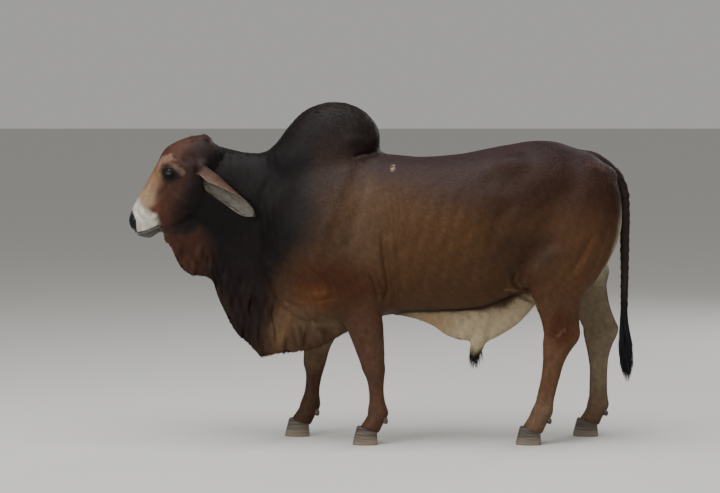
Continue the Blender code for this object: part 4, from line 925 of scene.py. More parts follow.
# Markings, painted shade and painted highlights, as sRGB hex. The body's are soft ellipses of the side view:
# colour, middle x and z, half sizes, softness and strength, laid one over another.
RED, UNDER = "#452D1D", "#553F2C"
PATCHES = (
    ("#50361F", 0.18, 1.00, 0.62, 0.30, 0.5, 0.9),
    ("#4B321E", 0.45, 0.80, 0.40, 0.16, 0.5, 0.8),
    ("#2F1D17", 0.62, 1.38, 0.62, 0.20, 0.5, 0.85),
    ("#331F17", 0.95, 1.28, 0.32, 0.26, 0.5, 0.8),
    ("#523824", 0.93, 0.98, 0.24, 0.22, 0.6, 0.7),
    ("#5A3C25", 1.05, 0.90, 0.16, 0.20, 0.6, 0.6),
    # Painted shade in the hollow in front of the stifle, and in the hollow of the flank above it.
    ("#2C1A13", 0.72, 0.95, 0.15, 0.10, 0.8, 0.6),
    ("#332019", 0.57, 1.10, 0.10, 0.16, 0.9, 0.35),
    ("#120B0A", -0.36, 1.50, 0.38, 0.24, 0.30, 0.97),
    ("#0D0808", -0.66, 1.22, 0.38, 0.36, 0.30, 0.98),
    ("#0E0909", -0.74, 1.02, 0.26, 0.30, 0.35, 0.95),
    # Painted shadow under the rear overhang of the hump.
    ("#2C1C19", -0.14, 1.40, 0.17, 0.10, 0.7, 0.75),
    ("#19110F", -0.12, 1.62, 0.16, 0.16, 0.4, 0.85),
    ("#3A2A20", -0.24, 1.12, 0.12, 0.30, 0.8, 0.6),
    ("#543F2E", -0.10, 1.08, 0.12, 0.24, 0.7, 0.6),
    ("#40210F", -0.24, 0.80, 0.22, 0.11, 0.6, 0.85),
    # Painted highlight: a paler orange-brown on the elbows.
    ("#683E20", -0.36, 0.73, 0.10, 0.07, 0.7, 0.7),
    ("#4C3626", -0.50, 0.64, 0.10, 0.16, 0.6, 0.7),
    ("#72583F", -0.42, 0.57, 0.17, 0.12, 0.5, 0.9),
    ("#8C775B", -0.30, 0.57, 0.10, 0.05, 0.6, 0.7),
    ("#190F0F", -0.67, 0.70, 0.13, 0.30, 0.5, 0.9),
    ("#3F251A", -0.98, 0.94, 0.12, 0.14, 0.5, 0.9),
    ("#51382A", -0.05, 0.34, 0.20, 0.34, 0.4, 0.7),
    ("#3D291D", -0.33, 0.36, 0.16, 0.30, 0.4, 0.7),
    ("#664832", 0.84, 0.34, 0.22, 0.34, 0.4, 0.7),
    ("#43200F", 0.885, 0.585, 0.075, 0.085, 0.5, 0.85),
    ("#6E5946", 0.84, 0.14, 0.60, 0.10, 0.6, 0.5),
)
# Marks, painted shadow and painted highlight drawn along a line of the side view: colour, half width,
# strength, which side (0 both, -1 the left alone), line.
STREAKS = (
    ("#A58C76", 0.0055, 0.80, 0, ((0.044, 1.362), (0.053, 1.382))),
    ("#8A6A58", 0.0050, 0.30, -1, ((0.868, 0.545), (0.884, 0.560), (0.902, 0.578))),
    ("#6A4A3A", 0.0150, 0.20, 0, ((1.020, 1.400), (1.055, 1.392), (1.085, 1.372))),
    ("#5C402C", 0.0150, 0.60, 0, ((-1.086, 1.050), (-1.066, 0.990), (-1.045, 0.930))),
    # Painted shadow: a dark band along the underside of the belly, above the sheath and under the flank
    # fold.
    ("#1C120D", 0.0110, 0.85, 0, ((0.080, 0.650), (0.250, 0.658), (0.400, 0.664), (0.520, 0.682),
                                  (0.640, 0.728))),
    ("#1C120D", 0.0090, 0.60, 0, ((0.640, 0.728), (0.700, 0.722), (0.745, 0.700))),
    # Painted highlight along the lower edge of the near flank fold.
    ("#8C7450", 0.0050, 0.30, -1, ((0.605, 0.772), (0.650, 0.764), (0.705, 0.750), (0.752, 0.724),
                                   (0.772, 0.684))),
)
# The head's, along its axis and up from it: colour, middle, half sizes, softness, strength.
HEAD_BASE = "#452C22"
HEAD_PATCHES = (
    ("#4A2D23", 0.02, 0.20, 0.11, 0.07, 0.6, 0.85),
    ("#1A1211", -0.11, 0.05, 0.08, 0.10, 0.5, 0.9),
    # Dark coat at the ear's root, partly painted shade under the ear.
    ("#2A1C1A", -0.02, 0.07, 0.08, 0.07, 0.7, 0.85),
    ("#8E7055", 0.20, 0.155, 0.12, 0.045, 0.8, 0.95),
    ("#9C8268", 0.29, 0.110, 0.07, 0.045, 0.7, 0.9),
    ("#5E3828", 0.24, 0.02, 0.08, 0.05, 0.7, 0.8),
    ("#100A0A", 0.07, -0.05, 0.16, 0.09, 0.7, 0.95),
    # Dark throat under the jaw, deepened by painted shade.
    ("#080606", 0.10, -0.13, 0.22, 0.06, 0.6, 0.95),
    ("#3F281F", 0.17, 0.03, 0.07, 0.05, 0.9, 0.6),
)
HEAD_STREAKS = (
    ("#8A6A58", 0.0120, 0.70, ((0.128, 0.174), (0.088, 0.186), (0.052, 0.178))),
    ("#7E6A5E", 0.0100, 0.35, ((0.040, 0.128), (0.044, 0.104), (0.058, 0.084))),
)


def soft_ellipse(a, b, middle_a, middle_b, half_a, half_b, softness):
    """One inside an ellipse and nought outside, changing over its softness as a share of its size."""
    d = np.hypot((a - middle_a) / half_a, (b - middle_b) / half_b)
    return smooth(1 + softness, 1 - softness, d)


def lay(colour, over, weight):
    """One colour laid over another by its weight: colour + (over - colour) times weight."""
    return colour + (hexed(over) - colour) * np.clip(weight, 0, 1)[:, None]


def coat_colour(points, normals):
    """The hide's colour at each place, from its markings, painted shade and highlights, and which way the
    skin faces there.
    """
    wander = points + 0.010 * np.stack([ripple(points, 0.14, k) for k in (21, 22, 23)], axis=1)
    wander = wander + 0.0035 * np.stack([ripple(points, 0.03, k) for k in (24, 25, 26)], axis=1)
    x, y, z = wander.T
    colour = np.tile(hexed(RED), (len(points), 1))
    for tone, mx, mz, hx, hz, softness, strength in PATCHES:
        colour = lay(colour, tone, strength * soft_ellipse(x, z, mx, mz, hx, hz, softness))
    back = smooth(0.45, 0.9, normals[:, 2]) * smooth(-0.15, 0.05, x) * smooth(1.25, 1.38, z)
    colour = lay(colour, "#2B1F21", 0.7 * back)
    inner = smooth(0.25, 0.75, -normals[:, 1] * np.sign(points[:, 1])) * (np.abs(points[:, 1]) > 0.03)
    thigh = inner * smooth(0.62, 0.75, x) * smooth(0.06, 0.42, z) * (1 - smooth(0.95, 1.05, z))
    colour = lay(colour, "#857660", 0.85 * thigh)
    fore = inner * (1 - smooth(0.05, 0.12, x)) * smooth(0.30, 0.48, z) * (1 - smooth(0.62, 0.75, z))
    fore = fore * (x > -0.45)
    colour = lay(colour, "#8A7458", 0.55 * fore)
    under = smooth(0.55, 0.9, -normals[:, 2]) * smooth(-0.05, 0.1, x) * (1 - smooth(0.80, 0.95, x))
    under = under * (z > 0.55)
    colour = lay(colour, UNDER, 0.45 * under)
    sheath = smooth(0.665, 0.63, z - 0.10 * smooth(0.5, 0.8, x)) * smooth(0.06, 0.22, x)
    sheath = sheath * (1 - smooth(0.80, 0.84, x)) * (np.abs(points[:, 1]) < 0.11)
    colour = lay(colour, "#BBA88A", 0.92 * sheath)
    colour = lay(colour, "#93754E", 0.6 * sheath * smooth(0.42, 0.25, x))
    colour = lay(colour, "#2B2523", sheath * smooth(0.485, 0.435, z))
    rump = smooth(0.05, 0.6, normals[:, 0]) * smooth(0.215, 0.145, np.abs(y)) * smooth(0.95, 1.02, x)
    colour = lay(colour, "#A59F88", 0.85 * rump * smooth(1.24, 1.08, z) * smooth(0.72, 0.88, z))
    bag = soft_ellipse(x, z, 0.90, 0.60, 0.09, 0.18, 0.2) * (np.abs(points[:, 1]) < 0.075)
    colour = lay(colour, "#75584A", 0.9 * bag * (x < 1.0))
    for tone, width, strength, side, line in STREAKS:
        away, _ = from_line(points[:, [0, 2]], line)
        mark = strength * smooth(1.4 * width, 0.6 * width, away)
        colour = lay(colour, tone, mark * (1.0 if side == 0 else smooth(0.02, 0.06, points[:, 1] * side)))
    tone_here = head_share(points)
    colour = colour + (head_colour(wander, points) - colour) * tone_here[:, None]
    fleck = 1 + 0.10 * ripple(points, 0.055, 31) + 0.07 * ripple(points, 0.016, 32)
    return np.clip(colour * fleck[:, None], 0.002, 1.0)


def head_colour(wander, points):
    """The face: dark cheeks, tan bridge and brow, pale muzzle, black nose pad and eye rims, with painted
    shade under the jaw, at the ear's root and in the nostrils.
    """
    s, u, y = head_frame(wander)
    colour = np.tile(hexed(HEAD_BASE), (len(points), 1))
    for tone, ms, mu, hs, hu, softness, strength in HEAD_PATCHES:
        colour = lay(colour, tone, strength * soft_ellipse(s, u, ms, mu, hs, hu, softness))
    for tone, width, strength, line in HEAD_STREAKS:
        away, _ = from_line(np.stack([s, u], axis=1), line)
        colour = lay(colour, tone, strength * smooth(1.5 * width, 0.5 * width, away) * (np.abs(y) > 0.045))
    around = np.hypot((s - EYE[0] - 0.004) / 1.1, u - EYE[1] + 0.006)
    colour = lay(colour, "#120D0D", 0.97 * smooth(0.064, 0.033, around) * (np.abs(y) > 0.06))
    colour = lay(colour, "#C4BFB2", 0.97 * smooth(-0.020, 0.022, s - read_line(WHITE_EDGE, u)))
    plain_s, plain_u, plain_y = head_frame(points)
    colour = lay(colour, "#1B191B", pad_share(plain_s, plain_u))
    # Painted shade inside the nostrils: near black where the openings go deep.
    hole = nostril_measure(plain_s - NOSTRIL[0], plain_u - NOSTRIL[1], np.abs(plain_y) - NOSTRIL[2])
    colour = lay(colour, "#060505", smooth(1.0, 0.8, hole))
    away, _ = from_line(np.stack([plain_s, plain_u], axis=1), MOUTH_LINE)
    colour = lay(colour, "#1E1A19", 0.9 * smooth(0.006, 0.002, away))
    lip = read_line(MOUTH_LINE[::-1], plain_s)
    chin = smooth(0.0, 0.008, lip - plain_u) * smooth(0.31, 0.34, plain_s)
    return lay(colour, "#35302C", 0.88 * chin)


def pad_share(s, u):
    """One on the nose pad: past its edge along the head's axis, and above the lip."""
    return smooth(-0.003, 0.003, s - read_line(PAD_EDGE, u)) * smooth(0.004, 0.010, u)


def bare_share(points):
    """One on the nose pad, lips and eye rims, where the skin is bare and moist."""
    s, u, _ = head_frame(points)
    lips = smooth(0.008, 0.003, from_line(np.stack([s, u], axis=1), MOUTH_LINE)[0])
    rims = np.zeros(len(points))
    for side in (-1, 1):
        along, across, out = eye_frame(points, side)
        measure, outside = slit_measure(along, across)
        rims = np.maximum(rims, smooth(1.35, 1.15, measure) * (outside < 0.3) * (out > -0.01))
    return np.maximum.reduce([pad_share(s, u), lips, rims]) * head_share(points)


def along_skin(ways, normals):
    """Ways laid flat on the skin: each less its own part along the normal, and made one long."""
    flat = ways - (ways * normals).sum(axis=1)[:, None] * normals
    return flat / np.maximum(np.linalg.norm(flat, axis=1), 1e-6)[:, None]


def hair_way(points, normals):
    """Which way the hair lies: back and down the trunk, down the legs, and down the face from the brow."""
    x, _, z = points.T
    way = np.tile(np.array((0.80, 0.0, -0.55)), (len(points), 1))
    legs = smooth(0.75, 0.55, z)
    way += (np.array((0.05, 0.0, -1.1)) - way) * legs[:, None]
    neck = (1 - smooth(-0.65, -0.35, x)) * (1 - legs)
    way += (np.array((0.35, 0.0, -0.95)) - way) * neck[:, None]
    top = smooth(0.6, 0.95, normals[:, 2])
    way += (np.array((1.0, 0.0, 0.0)) - way) * (top * (1 - neck))[:, None]
    s, u, out = head_frame(points)
    face = head_share(points)
    down = ALONG + np.outer(-0.35 * smooth(0.2, 0.0, u), RISE) * 0.6
    back = -ALONG * 0.8 + RISE * 0.1 + np.outer(np.sign(out), (0, 0.4, 0))
    brow = smooth(0.05, -0.02, s)[:, None]
    way += (down * (1 - brow) + back * brow - way) * face[:, None]
    rear = smooth(1.0, 1.12, x) * (1 - legs)
    way += (np.array((0.0, 0.0, -1.0)) - way) * rear[:, None]
    way += 0.05 * np.stack([ripple(points, 0.10, k) for k in (41, 42, 43)], axis=1)
    return along_skin(way, normals)


def paint(mesh, name, colours):
    """A colour for each point, kept on the mesh for its material to read."""
    layer = mesh.color_attributes.new(name, "FLOAT_COLOR", "POINT")
    rows = np.concatenate([colours, np.ones((len(colours), 1))], axis=1)
    layer.data.foreach_set("color", rows.astype(np.float32).ravel())


def finish_piece(obj, material, *nodes, slot=None):
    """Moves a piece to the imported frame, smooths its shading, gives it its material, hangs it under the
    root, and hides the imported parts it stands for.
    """
    set_places(obj.data, places_of(obj.data) + ORIGIN)
    obj.data.polygons.foreach_set("use_smooth", np.ones(len(obj.data.polygons), bool))
    obj.data.materials.clear()
    obj.data.materials.append(material)
    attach(obj, "root")
    if nodes:
        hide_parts(*nodes)
    return obj


def unwrap(points, region):
    """A place on a flat sheet for each root: turned round the region's own axis, and along it."""
    x, y, z = points.T
    s, u, out = head_frame(points)
    if region == "head":
        return np.stack([np.arctan2(out, u - 0.04) / (2 * math.pi) + 0.5, (s + 0.18) / 0.64], axis=1)
    if region == "dewlap":
        return np.stack([0.25 + (x + 0.3) / 4.8 + 0.5 * (y > 0), (z - 0.38) / 0.80], axis=1)
    if region == "legs":
        number = 2 * (x > 0.3) + (y > 0)
        ax, ay = np.zeros(len(points)), np.zeros(len(points))
        for k, name in enumerate(("foreleg_left", "foreleg_right", "hindleg_left", "hindleg_right")):
            px, py = leg_path(name, z)
            ax, ay = np.where(number == k, px, ax), np.where(number == k, py, ay)
        turn = np.arctan2(y - ay, x - ax) / (2 * math.pi) + 0.5
        return np.stack([(number + 0.02 + 0.96 * turn) / 4, (z - 0.04) / 0.85], axis=1)
    if region.startswith("quarter"):
        turn = np.arctan2(np.abs(y) + 0.05, x - 0.70) / math.pi
        return np.stack([turn, (z - 0.6) / 1.0], axis=1)
    turn = np.arctan2(y, z - 1.08) / (2 * math.pi) + 0.5
    return np.stack([turn, (x + 0.95) / 1.65], axis=1)


def tufts(name, roots, normals, ways, colours, lengths, widths, lifts, sheet, chance, material):
    """Short hair as closed slivers: two points across the root, one on its back, and one at the tip.

    The back stands a tenth of the width over the skin at three tenths of the length; the tip is one
    length away along the hair and one lift out. Shading follows the skin under each sliver, leaning
    to its two sides like a rounded lock. Each has a patch 0.003 across on the sheet.
    """
    count = len(roots)
    across = np.cross(normals, ways)
    half = widths[:, None] / 2
    sunk = normals * 0.0005
    points = np.stack([
        roots - across * half - sunk,
        roots + across * half - sunk,
        roots + ways * (0.30 * lengths)[:, None] + normals * (0.10 * widths + 0.45 * lifts)[:, None],
        roots + ways * lengths[:, None] + normals * lifts[:, None],
    ], axis=1).reshape(-1, 3)
    corners = np.array([(0, 2, 1), (1, 2, 3), (0, 3, 2), (0, 1, 3)])
    faces = (np.arange(count)[:, None, None] * 4 + corners[None]).reshape(-1, 3)
    mesh = bpy.data.meshes.new(name)
    mesh.vertices.add(count * 4)
    mesh.vertices.foreach_set("co", points.ravel())
    mesh.loops.add(count * 12)
    mesh.loops.foreach_set("vertex_index", faces.ravel().astype(np.int32))
    mesh.polygons.add(count * 4)
    mesh.polygons.foreach_set("loop_start", np.arange(0, count * 12, 3, dtype=np.int32))
    mesh.update(calc_edges=True)
    tint = chance.uniform(0.90, 1.10, (count, 1, 1)) * np.array((0.94, 0.94, 1.0, 1.06))[None, :, None]
    paint(mesh, "coat", np.clip((colours[:, None, :] * tint).reshape(-1, 3), 0, 1))
    layer = mesh.uv_layers.new(name="OFBake")
    spots = np.array(((-0.0013, 0.0), (0.0013, 0.0), (0.0, 0.0010), (0.0, 0.0028)))
    places = (sheet[:, None, :] + spots[None]).reshape(-1, 2)
    layer.data.foreach_set("uv", places[faces.ravel()].astype(np.float32).ravel())
    mesh.polygons.foreach_set("use_smooth", np.ones(count * 4, bool))
    lean = [normals - across * 0.45, normals + across * 0.45, normals, normals + ways * 0.25]
    lean = np.stack(lean, axis=1).reshape(-1, 3)
    lean = lean / np.linalg.norm(lean, axis=1)[:, None]
    mesh.normals_split_custom_set_from_vertices(lean.astype(np.float32))
    return finish_piece(new_object(name, mesh), material)


def region_of(points):
    """The name of the coat piece that each place belongs to, with ragged edges where pieces meet."""
    x, y, z = points.T + 0.022 * np.stack([ripple(points, 0.07, k) for k in (33, 34, 35)])
    names = np.where(x < -0.05, "neck", np.where(x < 0.60, "trunk", "quarter")).astype(object)
    names = np.where(names == "neck", "neck", names + np.where(y < 0, "_left", "_right"))
    names = np.where((z < 0.66) & (np.abs(y) > 0.10) & (x < 0.3), "legs", names)
    names = np.where((z < 0.80) & (np.abs(y) > 0.07) & (x > 0.62), "legs", names)
    low = dewlap_share(points) > 0.4
    low |= (z < 0.64) & (np.abs(y) < 0.10) & (x > 0.0)
    names = np.where(low & (names != "legs"), "dewlap", names)
    return np.where(head_share(points) > 0.5, "head", names)


# How the short coat lies in each region: share of all tufts, length, width and lift in metres.
COAT_TUFTS = 270000
COAT = {
    "head": (0.130, 0.0090, 0.0022, 0.0006),
    "neck": (0.145, 0.0200, 0.0042, 0.0008),
    "trunk_left": (0.118, 0.0190, 0.0042, 0.0007),
    "trunk_right": (0.118, 0.0190, 0.0042, 0.0007),
    "quarter_left": (0.120, 0.0180, 0.0042, 0.0007),
    "quarter_right": (0.120, 0.0180, 0.0042, 0.0007),
    "legs": (0.125, 0.0110, 0.0028, 0.0006),
    "dewlap": (0.124, 0.0150, 0.0036, 0.0007),
}


def sow(mesh, count, chance, region_names):
    """Roots spread evenly over each region's triangles: area picks the triangle, two chances the place."""
    mesh.calc_loop_triangles()
    corners = np.empty(len(mesh.loop_triangles) * 3, np.int32)
    mesh.loop_triangles.foreach_get("vertices", corners)
    corners = corners.reshape(-1, 3)
    points, normals = places_of(mesh), normals_of(mesh)
    a, b, c = (points[corners[:, k]] for k in range(3))
    area = np.linalg.norm(np.cross(b - a, c - a), axis=1) / 2
    middle = (a + b + c) / 3
    names = region_of(middle)
    bare = np.maximum(bare_share(middle), horn_share(middle))
    for name in region_names:
        share = COAT[name][0]
        weight = np.where(names == name, area * (bare < 0.5), 0.0)
        picked = chance.choice(len(area), int(count * share), p=weight / weight.sum())
        r, t = np.sqrt(chance.random(len(picked))), chance.random(len(picked))
        mix = np.stack([1 - r, r * (1 - t), r * t], axis=1)
        roots = sum(mix[:, k, None] * points[corners[picked, k]] for k in range(3))
        facing = sum(mix[:, k, None] * normals[corners[picked, k]] for k in range(3))
        yield name, roots, facing / np.linalg.norm(facing, axis=1)[:, None]


def horn_share(points):
    """One below the coronets, where horn covers the foot."""
    low = np.zeros(len(points))
    for name in LEGS:
        x0, y0 = leg_path(name, FOOT_HEIGHT)
        near = (np.abs(points[:, 0] - x0) < 0.12) & (np.abs(points[:, 1] - y0) < 0.10)
        low = np.where(near & (points[:, 2] < CORONET - (points[:, 0] - x0) * math.tan(HOOF_TILT)), 1.0, low)
    return low


def grow_coat(skin_mesh, material):
    """The short coat, one piece for each region, smallest on the face and feet."""
    chance = np.random.default_rng(7)
    for name, roots, facing in sow(skin_mesh, COAT_TUFTS, chance, COAT):
        _, length, width, lift = COAT[name]
        ways = hair_way(roots, facing)
        spin = chance.normal(0, 0.09, len(roots))
        across = np.cross(facing, ways)
        ways = ways * np.cos(spin)[:, None] + across * np.sin(spin)[:, None]
        lengths = length * chance.uniform(0.75, 1.25, len(roots))
        if name == "head":
            s, _, _ = head_frame(roots)
            lengths *= 0.75 + 1.3 * smooth(-0.04, -0.12, s)
        stray = chance.random(len(roots)) < 0.025
        lifts = lift * chance.uniform(0.6, 1.4, len(roots)) * np.where(stray, 2.2, 1.0)
        widths = width * chance.uniform(0.8, 1.2, len(roots))
        colours = coat_colour(roots, facing)
        sheet = unwrap(roots, name)
        tufts("coat_" + name, roots, facing, ways, colours, lengths, widths, lifts, sheet, chance, material)


def locks(name, roots, paths, widths, colours, sheet, material, *nodes, slot=None):
    """Long hair as closed flat tapering locks: three sides round a path, widest at a third of its length.

    roots gives each lock's flat side; paths is an array of locks by stations by place.
    """
    count, stations, _ = paths.shape
    ahead = np.gradient(paths, axis=1)
    ahead /= np.linalg.norm(ahead, axis=2)[..., None]
    flat = np.cross(ahead, roots[:, None, :])
    flat /= np.maximum(np.linalg.norm(flat, axis=2), 1e-9)[..., None]
    out = np.cross(flat, ahead)
    share = np.linspace(0, 1, stations)
    taper = (np.interp(share, (0, 0.12, 0.4, 0.75, 1), (0.55, 0.9, 1.0, 0.62, 0.06)))[None, :, None]
    half = widths[:, None, None] / 2 * taper
    sides = np.stack([paths + flat * half, paths + out * half * 0.55, paths - flat * half,
                      paths - out * half * 0.20], axis=2)
    points = sides.reshape(-1, 3)
    ring = np.arange(stations - 1)[:, None] * 4 + np.arange(4)[None, :]
    after = np.arange(stations - 1)[:, None] * 4 + (np.arange(4)[None, :] + 1) % 4
    quads = np.stack([ring, after, after + 4, ring + 4], axis=-1).reshape(-1, 4)
    first, last = np.array([(3, 2, 1, 0)]), np.array([(0, 1, 2, 3)]) + (stations - 1) * 4
    one = np.concatenate([quads, first, last])
    faces = (np.arange(count)[:, None, None] * stations * 4 + one[None]).reshape(-1, 4)
    made = mesh_object(name, points, faces.tolist())
    turn_outwards(made)
    each = np.repeat(colours, stations * 4, axis=0)
    shade = np.tile(np.repeat(np.linspace(0.85, 1.15, stations), 4), count)
    paint(made.data, "coat", np.clip(each * shade[:, None], 0, 1))
    spots = np.stack(np.broadcast_arrays(np.array((-0.0014, 0, 0.0014, 0))[None, :],
                                         (share * 0.0028)[:, None]), axis=-1).reshape(-1, 2)
    places = (sheet[:, None, :] + spots[None]).reshape(-1, 2)
    layer = made.data.uv_layers.new(name="OFBake")
    index = np.empty(len(made.data.loops), np.int32)
    made.data.loops.foreach_get("vertex_index", index)
    layer.data.foreach_set("uv", places[index].astype(np.float32).ravel())
    return finish_piece(made, material, *nodes, slot=slot)


def grow_switch(material):
    """The tail's switch: locks rooted round the tail's last third, falling and closing in to a point."""
    chance = np.random.default_rng(11)
    count, stations = SWITCH_LOCKS, SWITCH_STATIONS
    start = chance.random(count) ** 1.25
    angle = chance.uniform(0, 2 * math.pi, count)
    root_z = SWITCH_TOP + 0.02 - 0.17 * start
    core = read_line(SWITCH_CORE, root_z)
    fall = chance.uniform(0.15, 0.24, count)
    end_z = np.maximum(root_z - fall, SWITCH_TIP + 0.006 + 0.05 * chance.random(count) ** 2)
    share = np.linspace(0, 1, stations)
    z = root_z[:, None] + (end_z - root_z)[:, None] * share
    body = read_line(SWITCH_BODY, z)
    spread = chance.uniform(0.35, 1.0, count)[:, None]
    reach = core[:, None] * (1 - share) + body * spread * share
    reach = reach + 0.006 * np.sin(math.pi * share) * chance.uniform(0.3, 1.0, count)[:, None]
    wander = 0.5 * np.sin(share[None] * chance.uniform(2, 5, count)[:, None] + angle[:, None])
    turn = angle[:, None] + 0.35 * wander * share
    x = read_line(SWITCH_MIDDLE, z) + reach * np.cos(turn)
    paths = np.stack([x, 0.85 * reach * np.sin(turn), z], axis=-1)
    roots = np.stack([np.cos(angle), np.sin(angle), 0 * angle], axis=1)
    widths = chance.uniform(0.0045, 0.0085, count)
    tone = hexed("#17151A") * chance.uniform(0.5, 1.7, (count, 1))
    sheet = np.stack([angle / (2 * math.pi), 0.1 + 0.8 * start], axis=1)
    locks("tail_switch_hair", roots, paths, widths, tone, sheet, material, "tail_switch", slot="tail_hair")


def strands(mesh, chance, count, weigh, length, width, droop, lift, tone, name, material, way=None):
    """Longer hair rooted where weigh says: out by lift, along the coat's way, and drooping by gravity."""
    points, normals = places_of(mesh), normals_of(mesh)
    weight = np.clip(weigh(points, normals), 0, None)
    picked = chance.choice(len(points), count, p=weight / weight.sum())
    roots = points[picked] + chance.normal(0, 0.002, (count, 3))
    facing = normals[picked]
    ways = hair_way(points[picked], facing) if way is None else np.tile(np.array(way, float), (count, 1))
    ways = ways + chance.normal(0, 0.12, (count, 3))
    share = np.linspace(0, 1, 6)
    lengths = (length * chance.uniform(0.6, 1.25, count))[:, None, None]
    along = share[None, :, None]
    paths = roots[:, None] - facing[:, None] * 0.002 + lengths * (
        ways[:, None] * along + facing[:, None] * (lift * along * (1 - 0.5 * along))
        + np.array((0, 0, -droop)) * along**2)
    colours = coat_colour(points[picked], facing) if tone is None else np.tile(hexed(tone), (count, 1))
    colours = colours * chance.uniform(0.75, 1.3, (count, 1))
    widths = width * chance.uniform(0.7, 1.3, count)
    sheet = np.stack([(points[picked, 0] + 1.3) / 2.6, points[picked, 2] / 1.75], axis=1)
    locks(name, facing, paths, widths, colours, sheet, material)


def ear_surface(side, steps, sides):
    """The ear's rings: a folded leaf's cross-section carried along a bending path, twisted as it goes.

    Across the leaf, a place at share v is lifted by the fold times 0.3 - |v|^1.8, and rolled over.
    """
    out = EAR_OUTWARD * (1, side, 1)
    first = EAR_ROOT * (1, side, 1) + out * (EAR_CUT - 0.012)
    tip = EAR_TIP * (1, side, 1)
    drop = (tip - first) / np.linalg.norm(tip - first)
    corners = (first, first + out * 0.080, tip - drop * 0.17 + np.array((0, side * 0.012, 0.022)), tip)
    even = np.linspace(0.0, 1.0, steps)
    share = even - 0.08 * np.sin(2 * math.pi * even)
    widths = read_line(EAR_HALF_WIDTHS, share)
    folds = read_line(EAR_FOLDS, share)
    angle = np.linspace(0, 2 * math.pi, sides, endpoint=False)
    across, lift = np.cos(angle), np.sin(angle)
    rings = []
    for u, half, fold in zip(share, widths, folds):
        a, b, c, d = corners
        centre = a * (1 - u) ** 3 + b * 3 * u * (1 - u) ** 2 + c * 3 * u**2 * (1 - u) + d * u**3
        ahead = (b - a) * (1 - u) ** 2 + (c - b) * 2 * u * (1 - u) + (d - c) * u**2
        ahead = ahead / np.linalg.norm(ahead)
        turn = smooth(0.0, 0.25, u)
        sideways = np.array((-(1 - turn), side * turn, 0.0))
        sideways = sideways - (sideways @ ahead) * ahead
        sideways /= np.linalg.norm(sideways)
        upward = np.cross(sideways, ahead) * side
        upward = upward if upward[2] > 0 else -upward
        roll = EAR_ROLL[0] + (EAR_ROLL[1] - EAR_ROLL[0]) * u
        over = upward * math.cos(roll) - sideways * math.sin(roll)
        wide = sideways * math.cos(roll) + upward * math.sin(roll)
        thick = EAR_THICKNESS * (0.85 - 0.3 * u) + 0.036 * (1 - u) ** 6
        edge = half * math.sqrt(max(0.004, 1 - max(0.0, (u - 0.84) / 0.16) ** 2))
        bend = fold * (0.30 - np.abs(across) ** 1.8)
        slope = -1.8 * fold / edge * np.sign(across) * np.abs(across) ** 0.8
        ridges = 0.0010 * np.sin(9 * math.pi * across) * (lift < -0.3) * smooth(0.08, 0.25, u) * (1 - u)
        rim = (lift * thick / 2 * np.clip(1.15 - across**4, 0.35, 1) + ridges) / np.sqrt(1 + slope**2)
        rings.append(centre + wide * (across * edge - slope * rim)[:, None] + over * (bend + rim)[:, None])
    return np.array(rings), share, across, lift


